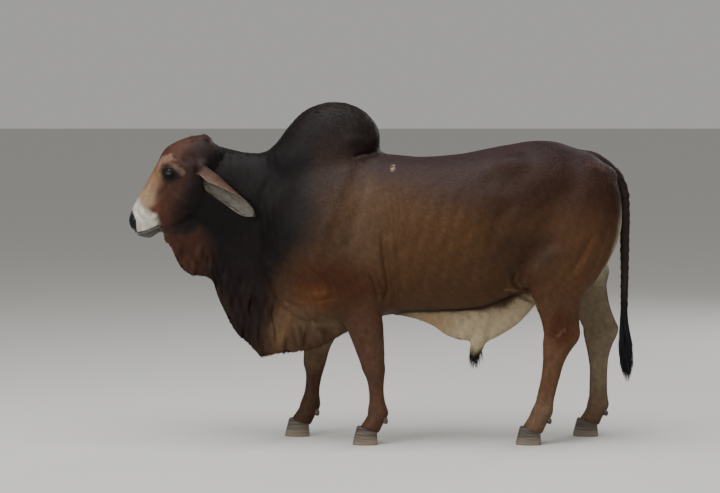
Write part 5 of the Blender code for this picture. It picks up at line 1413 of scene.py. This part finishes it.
def ear(side, material, fur):
    """One ear: its leaf, dark at the root and greyish inside with painted shade down the middle, its short
    hair and its fringe.
    """
    name = sided("ear", side)
    rings, share, across, lift = ear_surface(side, 90, 64)
    made = loft(name + "_leaf", rings)
    u = np.repeat(share, len(across))
    v, top = np.tile(across, len(share)), np.tile(lift, len(share))
    points = places_of(made.data)
    inside = smooth(0.1, -0.35, top + 0.12 * ripple(points, 0.05, 51))
    colour = np.tile(hexed("#4C362D"), (len(points), 1))
    colour = lay(colour, "#2A1F1D", smooth(0.28, 0.05, u))
    colour = lay(colour, "#77604F", 0.35 * smooth(0.55, 0.95, np.abs(v)) * smooth(0.15, 0.4, u))
    colour = lay(colour, "#6F5B4C", 0.6 * smooth(0.55, 0.95, u))
    colour = lay(colour, "#77736A", inside)
    colour = lay(colour, "#4A473F", inside * smooth(0.60, 0.20, u))
    # Painted shade down the middle of the ear's inside, towards its root.
    colour = lay(colour, "#3A3833", inside * 0.8 * smooth(0.75, 0.1, np.abs(v)) * (1 - smooth(0.6, 0.9, u)))
    colour = colour * (1 + 0.12 * ripple(points, 0.03, 52) + 0.08 * ripple(points, 0.010, 53))[:, None]
    paint(made.data, "coat", np.clip(colour, 0, 1))
    normals = normals_of(made.data)
    chance = np.random.default_rng(60 + side)
    tips = np.roll(places_of(made.data).reshape(len(share), -1, 3), -1, axis=0).reshape(-1, 3) - points
    tips[u >= share[-2]] = EAR_TIP * (1, side, 1) - EAR_ROOT * (1, side, 1)
    tips /= np.maximum(np.linalg.norm(tips, axis=1), 1e-9)[:, None]
    outer = np.flatnonzero((top > -0.2) & (u > 0.01) & (np.abs(v) < 0.90))
    inner = np.flatnonzero((top <= -0.2) & (u > 0.03) & (np.abs(v) < 0.86))
    picked = np.concatenate([chance.choice(outer, EAR_BACK_TUFTS), chance.choice(inner, EAR_INNER_TUFTS)])
    roots = points[picked] + chance.normal(0, 0.0012, (len(picked), 3))
    facing = normals[picked]
    ways = along_skin(tips[picked] + chance.normal(0, 0.18, (len(picked), 3)), facing)
    lengths = 0.0080 * chance.uniform(0.7, 1.3, len(picked))
    lengths = lengths * (1 + 0.8 * smooth(0.8, 1.0, np.abs(v[picked])))
    turn = np.arctan2(top, v)[picked] / (2 * math.pi) + 0.5
    sheet = np.stack([0.02 + 0.94 * turn, 0.02 + 0.94 * u[picked]], axis=1)
    tufts("coat_" + name, roots, facing, ways, colour[picked], lengths, np.full(len(picked), 0.0023),
          np.full(len(picked), 0.0004), sheet, chance, fur)
    fringe = np.flatnonzero((np.abs(v) > 0.75) & (top < 0.2) & (u > 0.05) & (u < 0.75))
    picked = chance.choice(fringe, EAR_FRINGE_LOCKS)
    along = np.linspace(0, 1, 6)[None, :, None]
    centre_way = -facing_towards_middle(points, share, picked, len(across))
    reach = chance.uniform(0.012, 0.028, len(picked))[:, None, None]
    paths = points[picked][:, None] + reach * (
        centre_way[:, None] * along * 0.7 + tips[picked][:, None] * along * 0.7
        + np.array((0, 0, -0.35)) * along**2)
    tone = colour[picked] * chance.uniform(0.8, 1.5, (len(picked), 1))
    sheet = np.stack([0.5 + 0.45 * v[picked], 0.02 + 0.94 * u[picked]], axis=1)
    widths = chance.uniform(0.0010, 0.0020, len(picked))
    locks(name + "_fringe", normals[picked], paths, widths, tone, sheet, fur)
    return finish_piece(made, material, name, slot="ear_coat")


def facing_towards_middle(points, share, picked, sides):
    """From the leaf's middle line to each picked point, one long."""
    rings = points.reshape(len(share), sides, 3)
    middle = np.repeat(rings.mean(axis=1), sides, axis=0)
    away = points[picked] - middle[picked]
    return away / np.maximum(np.linalg.norm(away, axis=1), 1e-9)[:, None]


def eyeball(side, material):
    """A ball with the clear front of the eye swelling from it as a bell of the angle from its axis."""
    name = sided("eye", side)
    centre = eye_centre(side)
    look = np.array((-0.10, side * 0.985, -0.04))
    look /= np.linalg.norm(look)
    slit = SLIT_WAY - (SLIT_WAY @ look) * look
    slit /= np.linalg.norm(slit)
    brow = np.cross(look, slit)
    tall = np.linspace(0.0, math.pi, 50)[1:-1, None]
    angle = np.linspace(0, 2 * math.pi, 64, endpoint=False)[None, :]
    swell = EYE_RADIUS * (1 + 0.075 * np.exp(-((tall / 0.62) ** 4)))
    level = np.sin(tall)
    unit = np.stack(np.broadcast_arrays(level * np.cos(angle), level * np.sin(angle), np.cos(tall)), -1)
    ways = np.stack([slit, brow, look])
    made = loft(name + "_ball", centre + (unit * swell[..., None]) @ ways)
    flat = (places_of(made.data) - centre) @ ways.T / EYE_RADIUS
    layer = made.data.attributes.new("gaze", "FLOAT_VECTOR", "POINT")
    layer.data.foreach_set("vector", flat.astype(np.float32).ravel())
    return finish_piece(made, material, name, slot="eyes")


def lashes(side, material):
    """Upper and lower lashes along the lid's rim, curving out and down."""
    chance = np.random.default_rng(80 + side)
    count = UPPER_LASHES + LOWER_LASHES
    t = np.concatenate([np.linspace(-0.92, 0.92, UPPER_LASHES), np.linspace(-0.7, 0.8, LOWER_LASHES)])
    upper = np.arange(count) < UPPER_LASHES
    along = t * SLIT_HALF
    across = np.where(upper, UPPER_LID, -LOWER_LID) * (1 - t**2) ** 0.7 + np.where(upper, 0.0014, -0.0014)
    out = np.array((0, side * 1.0, 0))
    depth = np.sqrt(np.clip((EYE_RADIUS + 0.0040) ** 2 - along**2 - across**2, 0, None))
    centre = eye_centre(side)
    roots = centre + SLIT_WAY * along[:, None] + BROW_WAY * across[:, None] + out * depth[:, None]
    length = np.where(upper, 0.017, 0.009) * chance.uniform(0.8, 1.2, count)
    lean = np.where(upper, 0.10, -0.55)
    share = np.linspace(0, 1, 6)[None, :, None]
    paths = roots[:, None] + length[:, None, None] * (
        out * share * 0.9 + SLIT_WAY * (t * 0.35)[:, None, None] * share
        + BROW_WAY * (lean[:, None, None] * share) + np.array((0, 0, -0.75)) * share**2)
    tone = np.tile(hexed("#151211"), (count, 1))
    sheet = np.stack([0.1 + 0.8 * (t + 1) / 2, 0.3 + 0.4 * upper], axis=1)
    widths = np.full(count, 0.0011)
    locks(sided("lashes", side), np.tile(out, (count, 1)), paths, widths, tone, sheet, material)


def claw(leg, across, level_count, sides):
    """One claw: level rings from sole to coronet, with growth rings as a ripple of the wall."""
    x0, y0 = leg_path(leg, FOOT_HEIGHT)
    angle = np.linspace(0, 2 * math.pi, sides, endpoint=False)[None, :]
    level = (np.linspace(0, 1, level_count) ** 1.1)[:, None]
    lip = 0.003 * np.exp(-level * 22)
    ring = 0.0005 * np.sin(level * 34 + 2 * np.cos(angle)) * smooth(0.06, 0.2, level)
    toe = TOE_REACH - 0.024 * level - lip + ring
    heel = HEEL_REACH - 0.006 * level - lip + ring
    half = CLAW_HALF_WIDTH * (1 - 0.12 * level) - lip * 0.5 + ring
    along, side = rounded(angle, 2.3)
    x = np.where(along < 0, along * toe, along * heel)
    outer = side * across > 0
    narrowing = np.where(along < 0, 1 - 0.32 * np.abs(along) ** 2, 1 - 0.10 * np.abs(along) ** 2)
    y = side * half * np.where(outer, 1.0, 0.92) * narrowing
    y = y + across * (CLAW_SPREAD * (1 - 0.12 * level) - 0.004 * np.clip(-along, 0, 1))
    top = CORONET + 0.004 - x * math.tan(HOOF_TILT)
    close = 1 - 0.10 * smooth(0.93, 1.0, level)
    x, y = x0 + x * close, y0 + y * close + across * 0.0028 * (close < 1)
    return np.stack(np.broadcast_arrays(x, y, level * top), axis=-1)


def hooves(leg, material):
    """Both claws of a foot as one piece, and both dewclaws as another."""
    short = leg.replace("leg", "")
    pair = [loft("claw", claw(leg, across, 44, 56)) for across in (-1, 1)]
    made = joined("hooves_" + short, pair)
    finish_piece(made, material, f"hoof_{short}_outer", f"hoof_{short}_inner", slot="horn")
    c, s = math.cos(DEWCLAW_TILT), math.sin(DEWCLAW_TILT)
    turn = ((c, 0, -s), (0, 1, 0), (s, 0, c))
    x, y = leg_path(leg, DEWCLAW_HEIGHT)
    places = [(x + DEWCLAW_BACK, y + across * DEWCLAW_SPREAD, DEWCLAW_HEIGHT) for across in (-1, 1)]
    pair = [lump(place, turn, DEWCLAW_SIZE) for place in places]
    made = joined("dewclaws_" + short, pair)
    finish_piece(made, material, f"dewclaw_{short}_outer", f"dewclaw_{short}_inner", slot="horn")


def tail(material, fur):
    """The hanging tail: a tube with the joints of its bones showing faintly, and its short hair."""
    path, radii = tail_path(260)
    keep = path[:, 2] < TAIL_TOP
    path, radii = path[keep], radii[keep]
    length = np.concatenate([[0], np.cumsum(np.linalg.norm(np.diff(path, axis=0), axis=1))])
    radii = radii * (1 + 0.035 * wave(length, TAIL_BONE_SPACING)) - 0.0015
    radii = radii * smooth(-0.02, 0.03, length)
    made = loft("tail_core", tube_rings(path, radii, 40))
    points, normals = places_of(made.data), normals_of(made.data)
    colour = tail_colour(points)
    paint(made.data, "coat", colour)
    chance = np.random.default_rng(90)
    picked = chance.choice(len(points), TAIL_TUFTS)
    roots = points[picked] + chance.normal(0, 0.0015, (len(picked), 3))
    facing = normals[picked]
    ways = along_skin(np.array((0.05, 0, -1.0)) + chance.normal(0, 0.14, (len(picked), 3)), facing)
    lengths = 0.016 * chance.uniform(0.7, 1.4, len(picked))
    angle = np.arctan2(points[picked, 1], points[picked, 0] - 1.2)
    sheet = np.stack([angle / (2 * math.pi) * 0.96 + 0.5, (points[picked, 2] - 0.55) / 0.85], axis=1)
    tufts("coat_tail", roots, facing, ways, colour[picked], lengths, np.full(len(picked), 0.0026),
          0.0016 * chance.uniform(0.5, 1.8, len(picked)), sheet, chance, fur)
    return finish_piece(made, material, "tail", slot="dark_coat")


def tail_colour(points):
    """Dark brown, redder at the root and near black towards the switch."""
    colour = np.tile(hexed("#3A312B"), (len(points), 1))
    colour = lay(colour, "#3C2C29", smooth(1.20, 1.36, points[:, 2]))
    colour = lay(colour, "#1D1A1C", smooth(0.78, 0.64, points[:, 2]))
    return np.clip(colour * (1 + 0.15 * ripple(points, 0.04, 71))[:, None], 0, 1)


def new_material(name):
    """An empty Principled material and its tree; values all over are set on the shader itself."""
    made = bpy.data.materials.new(name)
    made.use_nodes = True
    return made, made.node_tree, made.node_tree.nodes["Principled BSDF"]


def node(tree, kind, settings=None, **links):
    """Adds a node, sets its properties and values, and links the given sockets into its inputs."""
    made = tree.nodes.new(kind)
    for key, value in (settings or {}).items():
        if isinstance(key, str) and hasattr(made, key):
            setattr(made, key, value)
        else:
            made.inputs[key].default_value = value
    for key, source in links.items():
        tree.links.new(source, made.inputs[int(key[1:]) if key[0] == "_" else key])
    return made


def per_metre(size):
    """A pattern's scale: how many of this size in millimetres go to a metre."""
    return 1000.0 / size


def set_stops(ramp, stops):
    """Colours along a ramp, from pairs of position and hex; a new ramp has its first two already."""
    elements = ramp.color_ramp.elements
    for k, (position, tone) in enumerate(stops):
        stop = elements[k] if k < 2 else elements.new(position)
        stop.position = position
        stop.color = (*hexed(tone), 1)


def hide_material():
    """Short summer hair over loose skin: satin, near-black to red-brown.

    Fine hair shows as a noise drawn out along the body; bare nose pad and lips are dark, wet and
    pebbled in cells about 3 mm across.
    """
    made, tree, shader = new_material("short_cattle_hair_over_skin")
    colour = node(tree, "ShaderNodeAttribute", {"attribute_name": "coat"}).outputs["Color"]
    bare = node(tree, "ShaderNodeAttribute", {"attribute_name": "bare"}).outputs["Fac"]
    place = node(tree, "ShaderNodeTexCoord").outputs["Object"]
    drawn = node(tree, "ShaderNodeMapping", {"Scale": (1.0, 1.0, 0.28)}, Vector=place)
    clumps = {"Scale": per_metre(HAIR_CLUMP), "Detail": 3.0, "Roughness": 0.6}
    hair = node(tree, "ShaderNodeTexNoise", clumps, Vector=drawn.outputs[0]).outputs["Fac"]
    clouds = {"Scale": per_metre(HIDE_CLOUD), "Detail": 4.0}
    cloud = node(tree, "ShaderNodeTexNoise", clouds, Vector=place).outputs["Fac"]
    cells = node(tree, "ShaderNodeTexVoronoi", {"Scale": per_metre(SKIN_PEBBLE)}, Vector=place)
    wide = {"From Min": 0.3, "From Max": 0.7, "To Min": 0.80, "To Max": 1.18}
    vary = node(tree, "ShaderNodeMapRange", wide, Value=cloud)
    narrow = {"From Min": 0.3, "From Max": 0.7, "To Min": 0.82, "To Max": 1.15}
    streak = node(tree, "ShaderNodeMapRange", narrow, Value=hair)
    both = node(tree, "ShaderNodeMath", {"operation": "MULTIPLY"}, _0=vary.outputs[0], _1=streak.outputs[0])
    tint = node(tree, "ShaderNodeVectorMath", {"operation": "SCALE"}, Vector=colour, Scale=both.outputs[0])
    tree.links.new(tint.outputs[0], shader.inputs["Base Color"])
    rough = node(tree, "ShaderNodeMapRange", {"To Min": 0.58, "To Max": 0.26}, Value=bare)
    tree.links.new(rough.outputs[0], shader.inputs["Roughness"])
    hairy = node(tree, "ShaderNodeMath", {"operation": "SUBTRACT", 0: 1.0}, _1=bare)
    rise = node(tree, "ShaderNodeMath", {"operation": "MULTIPLY"}, _0=hair, _1=hairy.outputs[0])
    pebble = node(tree, "ShaderNodeMath", {"operation": "MULTIPLY"}, _0=cells.outputs["Distance"], _1=bare)
    height = node(tree, "ShaderNodeMath", {"operation": "SUBTRACT"}, _0=rise.outputs[0],
                  _1=pebble.outputs[0])
    bump = node(tree, "ShaderNodeBump", {"Strength": 0.35, "Distance": 0.0007}, Height=height.outputs[0])
    tree.links.new(bump.outputs[0], shader.inputs["Normal"])
    shader.inputs["Specular IOR Level"].default_value = 0.16
    return made


def hair_material(name, roughness, shine):
    """Hair seen as tufts and locks: its colour from the root's own place, glossy along its length."""
    made, tree, shader = new_material(name)
    colour = node(tree, "ShaderNodeAttribute", {"attribute_name": "coat"}).outputs["Color"]
    place = node(tree, "ShaderNodeTexCoord").outputs["Object"]
    gleam = node(tree, "ShaderNodeTexNoise", {"Scale": per_metre(HAIR_GLEAM), "Detail": 1.0}, Vector=place)
    spread = {"From Min": 0.35, "From Max": 0.65, "To Min": 0.88, "To Max": 1.12}
    vary = node(tree, "ShaderNodeMapRange", spread, Value=gleam.outputs["Fac"])
    tint = node(tree, "ShaderNodeVectorMath", {"operation": "SCALE"}, Vector=colour, Scale=vary.outputs[0])
    tree.links.new(tint.outputs[0], shader.inputs["Base Color"])
    shader.inputs["Roughness"].default_value = roughness
    shader.inputs["Specular IOR Level"].default_value = shine
    return made


def horn_material():
    """Hoof horn: dull keratin, dark grey-brown, paler and scuffed low down, ringed every 6 mm or so."""
    made, tree, shader = new_material("hoof_horn_keratin")
    place = node(tree, "ShaderNodeTexCoord").outputs["Object"]
    apart = node(tree, "ShaderNodeSeparateXYZ", {}, Vector=place)
    ring_scale = (per_metre(HORN_DRIFT), per_metre(HORN_DRIFT), per_metre(HORN_RING))
    rings = node(tree, "ShaderNodeMapping", {"Scale": ring_scale}, Vector=place)
    plain = {"Scale": 1.0, "Detail": 2.0}
    ring = node(tree, "ShaderNodeTexNoise", plain, Vector=rings.outputs[0]).outputs["Fac"]
    thread_scale = (per_metre(HORN_THREAD), per_metre(HORN_THREAD), per_metre(HORN_THREAD_LENGTH))
    threads = node(tree, "ShaderNodeMapping", {"Scale": thread_scale}, Vector=place)
    thread = node(tree, "ShaderNodeTexNoise", plain, Vector=threads.outputs[0]).outputs["Fac"]
    scuffed = {"From Min": 0.0, "From Max": 0.05, "To Min": 0.75, "To Max": 0.0}
    low = node(tree, "ShaderNodeMapRange", scuffed, Value=apart.outputs["Z"])
    mixed = node(tree, "ShaderNodeMath", {"operation": "ADD"}, _0=low.outputs[0], _1=ring)
    ramp = node(tree, "ShaderNodeValToRGB", {}, Fac=mixed.outputs[0])
    set_stops(ramp, ((0.35, "#2E2824"), (1.0, "#7A6C5C")))
    tree.links.new(ramp.outputs["Color"], shader.inputs["Base Color"])
    both = node(tree, "ShaderNodeMath", {"operation": "ADD"}, _0=ring, _1=thread)
    bump = node(tree, "ShaderNodeBump", {"Strength": 0.5, "Distance": 0.0012}, Height=both.outputs[0])
    tree.links.new(bump.outputs[0], shader.inputs["Normal"])
    shader.inputs["Roughness"].default_value = 0.48
    return made


def eye_material():
    """A wet dark eye: near-black level pupil in a deep brown iris, a dusky white at the corners."""
    made, tree, shader = new_material("wet_dark_eye")
    gaze = node(tree, "ShaderNodeAttribute", {"attribute_name": "gaze"}).outputs["Vector"]
    apart = node(tree, "ShaderNodeSeparateXYZ", {}, Vector=gaze)
    flat = node(tree, "ShaderNodeCombineXYZ", {}, X=apart.outputs["X"], Y=apart.outputs["Y"]).outputs[0]
    radius = node(tree, "ShaderNodeVectorMath", {"operation": "LENGTH"}, Vector=flat)
    level = {"operation": "MULTIPLY", 1: (1.0, 1.9, 1.0)}
    squeezed = node(tree, "ShaderNodeVectorMath", level, _0=flat)
    oval = node(tree, "ShaderNodeVectorMath", {"operation": "LENGTH"}, Vector=squeezed.outputs[0])
    rays = node(tree, "ShaderNodeTexNoise", {"Scale": 7.0, "Detail": 3.0}, Vector=gaze)
    ragged = node(tree, "ShaderNodeMath", {"operation": "MULTIPLY_ADD", 1: 0.10}, _0=rays.outputs["Fac"],
                  _2=radius.outputs["Value"])
    iris = node(tree, "ShaderNodeValToRGB", {}, Fac=ragged.outputs[0])
    set_stops(iris, ((0.10, "#1C100A"), (0.66, "#24150C"), (0.80, "#0E0A08"), (0.94, "#3A2C28")))
    pupil = {"From Min": 0.40, "From Max": 0.46}
    hole = node(tree, "ShaderNodeMapRange", pupil, Value=oval.outputs["Value"])
    dark = node(tree, "ShaderNodeMix", {"data_type": "RGBA"}, Factor=hole.outputs[0])
    dark.inputs[6].default_value = (*hexed("#050406"), 1)
    tree.links.new(iris.outputs["Color"], dark.inputs[7])
    tree.links.new(dark.outputs[2], shader.inputs["Base Color"])
    shader.inputs["Roughness"].default_value = 0.22
    shader.inputs["IOR"].default_value = 1.376
    shader.inputs["Coat Weight"].default_value = 1.0
    shader.inputs["Coat Roughness"].default_value = 0.02
    return made


def aim(obj, place, ahead):
    """Puts a light or the camera at its place, looking along ahead."""
    obj.location = place
    obj.rotation_mode = "QUATERNION"
    obj.rotation_quaternion = ahead.to_track_quat("-Z", "Y")


def stage():
    """A plain pale floor, soft lights and a pale surround."""
    half = FLOOR_HALF
    corners = [(-half, -half, 0), (half, -half, 0), (half, half, 0), (-half, half, 0)]
    floor = mesh_object("floor", corners, [(0, 1, 2, 3)])
    made, _, shader = new_material("matt_pale_floor")
    shader.inputs["Base Color"].default_value = (*hexed("#C9C8C4"), 1)
    shader.inputs["Roughness"].default_value = 0.9
    floor.data.materials.append(made)
    world = bpy.data.worlds.new("pale surround")
    world.use_nodes = True
    background = world.node_tree.nodes["Background"]
    background.inputs["Color"].default_value = (*hexed("#E2E1DE"), 1)
    background.inputs["Strength"].default_value = 0.52
    bpy.context.scene.world = world
    for name, place, target, size, power in SOFTBOXES:
        lamp = bpy.data.lights.new(name, "AREA")
        lamp.size = size
        lamp.energy = power
        aim(new_object(name, lamp), Vector(place), Vector(target) - Vector(place))


def camera():
    """Level with the belly, a little above, square to the left side, far off with a long lens."""
    data = bpy.data.cameras.new("camera")
    data.lens = CAMERA_LENS
    data.sensor_width = 36.0
    data.clip_end = 200.0
    back = Vector((0.0, -math.cos(CAMERA_RISE), math.sin(CAMERA_RISE)))
    made = new_object("camera", data)
    aim(made, Vector(CAMERA_AIM) + Vector(ORIGIN) + back * CAMERA_DISTANCE, -back)
    bpy.context.scene.camera = made


def skin():
    """The one skin, kept in the measured frame until its hair is rooted on it."""
    body = flesh()
    for side in (-1, 1):
        finer_near(body, eye_centre(side), 0.060)
        finer_near(body, eye_centre(side), 0.034)
        finer_near(body, on_head(NOSTRIL[0], NOSTRIL[1] - 0.02, NOSTRIL[2] * side), 0.055)
    press_details(body)
    thin_out(body, SKIN_TRIANGLES)
    body.name = "skin"
    points, normals = places_of(body.data), normals_of(body.data)
    paint(body.data, "coat", coat_colour(points, normals))
    layer = body.data.attributes.new("bare", "FLOAT", "POINT")
    layer.data.foreach_set("value", bare_share(points).astype(np.float32))
    return body


FLESH = (
    "torso", "head", "neck", "hump", "dewlap_throat", "dewlap_brisket", "sheath", "scrotum",
    "foreleg_left", "foreleg_right", "hindleg_left", "hindleg_right",
)


def long_hair(mesh, fur):
    """Hair long enough to hang or stand: on the poll, hump and neck crest, sheath, chin and flank fold."""
    chance = np.random.default_rng(17)

    def poll(p, n):
        """On top of the poll."""
        s, u, y = head_frame(p)
        return head_share(p) * smooth(-0.03, -0.09, s) * smooth(0.05, 0.12, u) * (np.abs(y) < 0.075)

    def crest(p, n):
        """Along the top of the neck and the hump."""
        span = (p[:, 0] < -0.02) * (p[:, 0] > -0.86) * (p[:, 2] > 1.42)
        return smooth(0.35, 0.8, n[:, 2]) * span * (1 - head_share(p))

    def sheath_end(p, n):
        """Round the sheath's opening."""
        low = (p[:, 2] < 0.455) & (np.abs(p[:, 1]) < 0.06)
        return (low & (p[:, 0] > 0.3) & (p[:, 0] < 0.6)).astype(float)

    def chin(p, n):
        """Under the chin, on the sides that face down."""
        s, _, _ = head_frame(p)
        return head_share(p) * smooth(0.28, 0.33, s) * smooth(0.3, 0.8, -(n @ RISE)) * (1 - bare_share(p))

    def flank(p, n):
        """Along the fold between belly and stifle."""
        away, _ = from_line(p[:, [0, 2]], ((0.560, 0.715), (0.640, 0.745), (0.700, 0.735), (0.750, 0.680)))
        return smooth(0.03, 0.01, away) * (np.abs(p[:, 1]) > 0.12)

    down = (0, 0, -0.8)
    strands(mesh, chance, 700, poll, 0.019, 0.0024, 0.10, 0.12, None, "poll_hair", fur)
    strands(mesh, chance, 1500, crest, 0.024, 0.0026, 0.15, 0.12, None, "crest_hair", fur)
    strands(mesh, chance, 160, sheath_end, 0.045, 0.0024, 0.30, 0.05, "#231F1E", "sheath_hair", fur, down)
    strands(mesh, chance, 260, chin, 0.014, 0.0010, 0.30, 0.25, "#8B8478", "chin_hair", fur)
    strands(mesh, chance, 320, flank, 0.017, 0.0014, 0.35, 0.12, None, "flank_hair", fur)


def main():
    """Camera and stage, the materials, then every piece in turn."""
    camera()
    stage()
    hide = hide_material()
    fur = hair_material("short_cattle_hair_tufts", 0.54, 0.16)
    long_fur = hair_material("long_coarse_cattle_hair", 0.45, 0.22)
    horn = horn_material()
    glass = eye_material()
    body = skin()
    grow_coat(body.data, fur)
    long_hair(body.data, long_fur)
    finish_piece(body, hide, *FLESH, slot="red_coat")
    tail(hide, fur)
    grow_switch(long_fur)
    for side in (-1, 1):
        ear(side, hide, fur)
        eyeball(side, glass)
        lashes(side, long_fur)
    for leg in LEGS:
        hooves(leg, horn)


main()
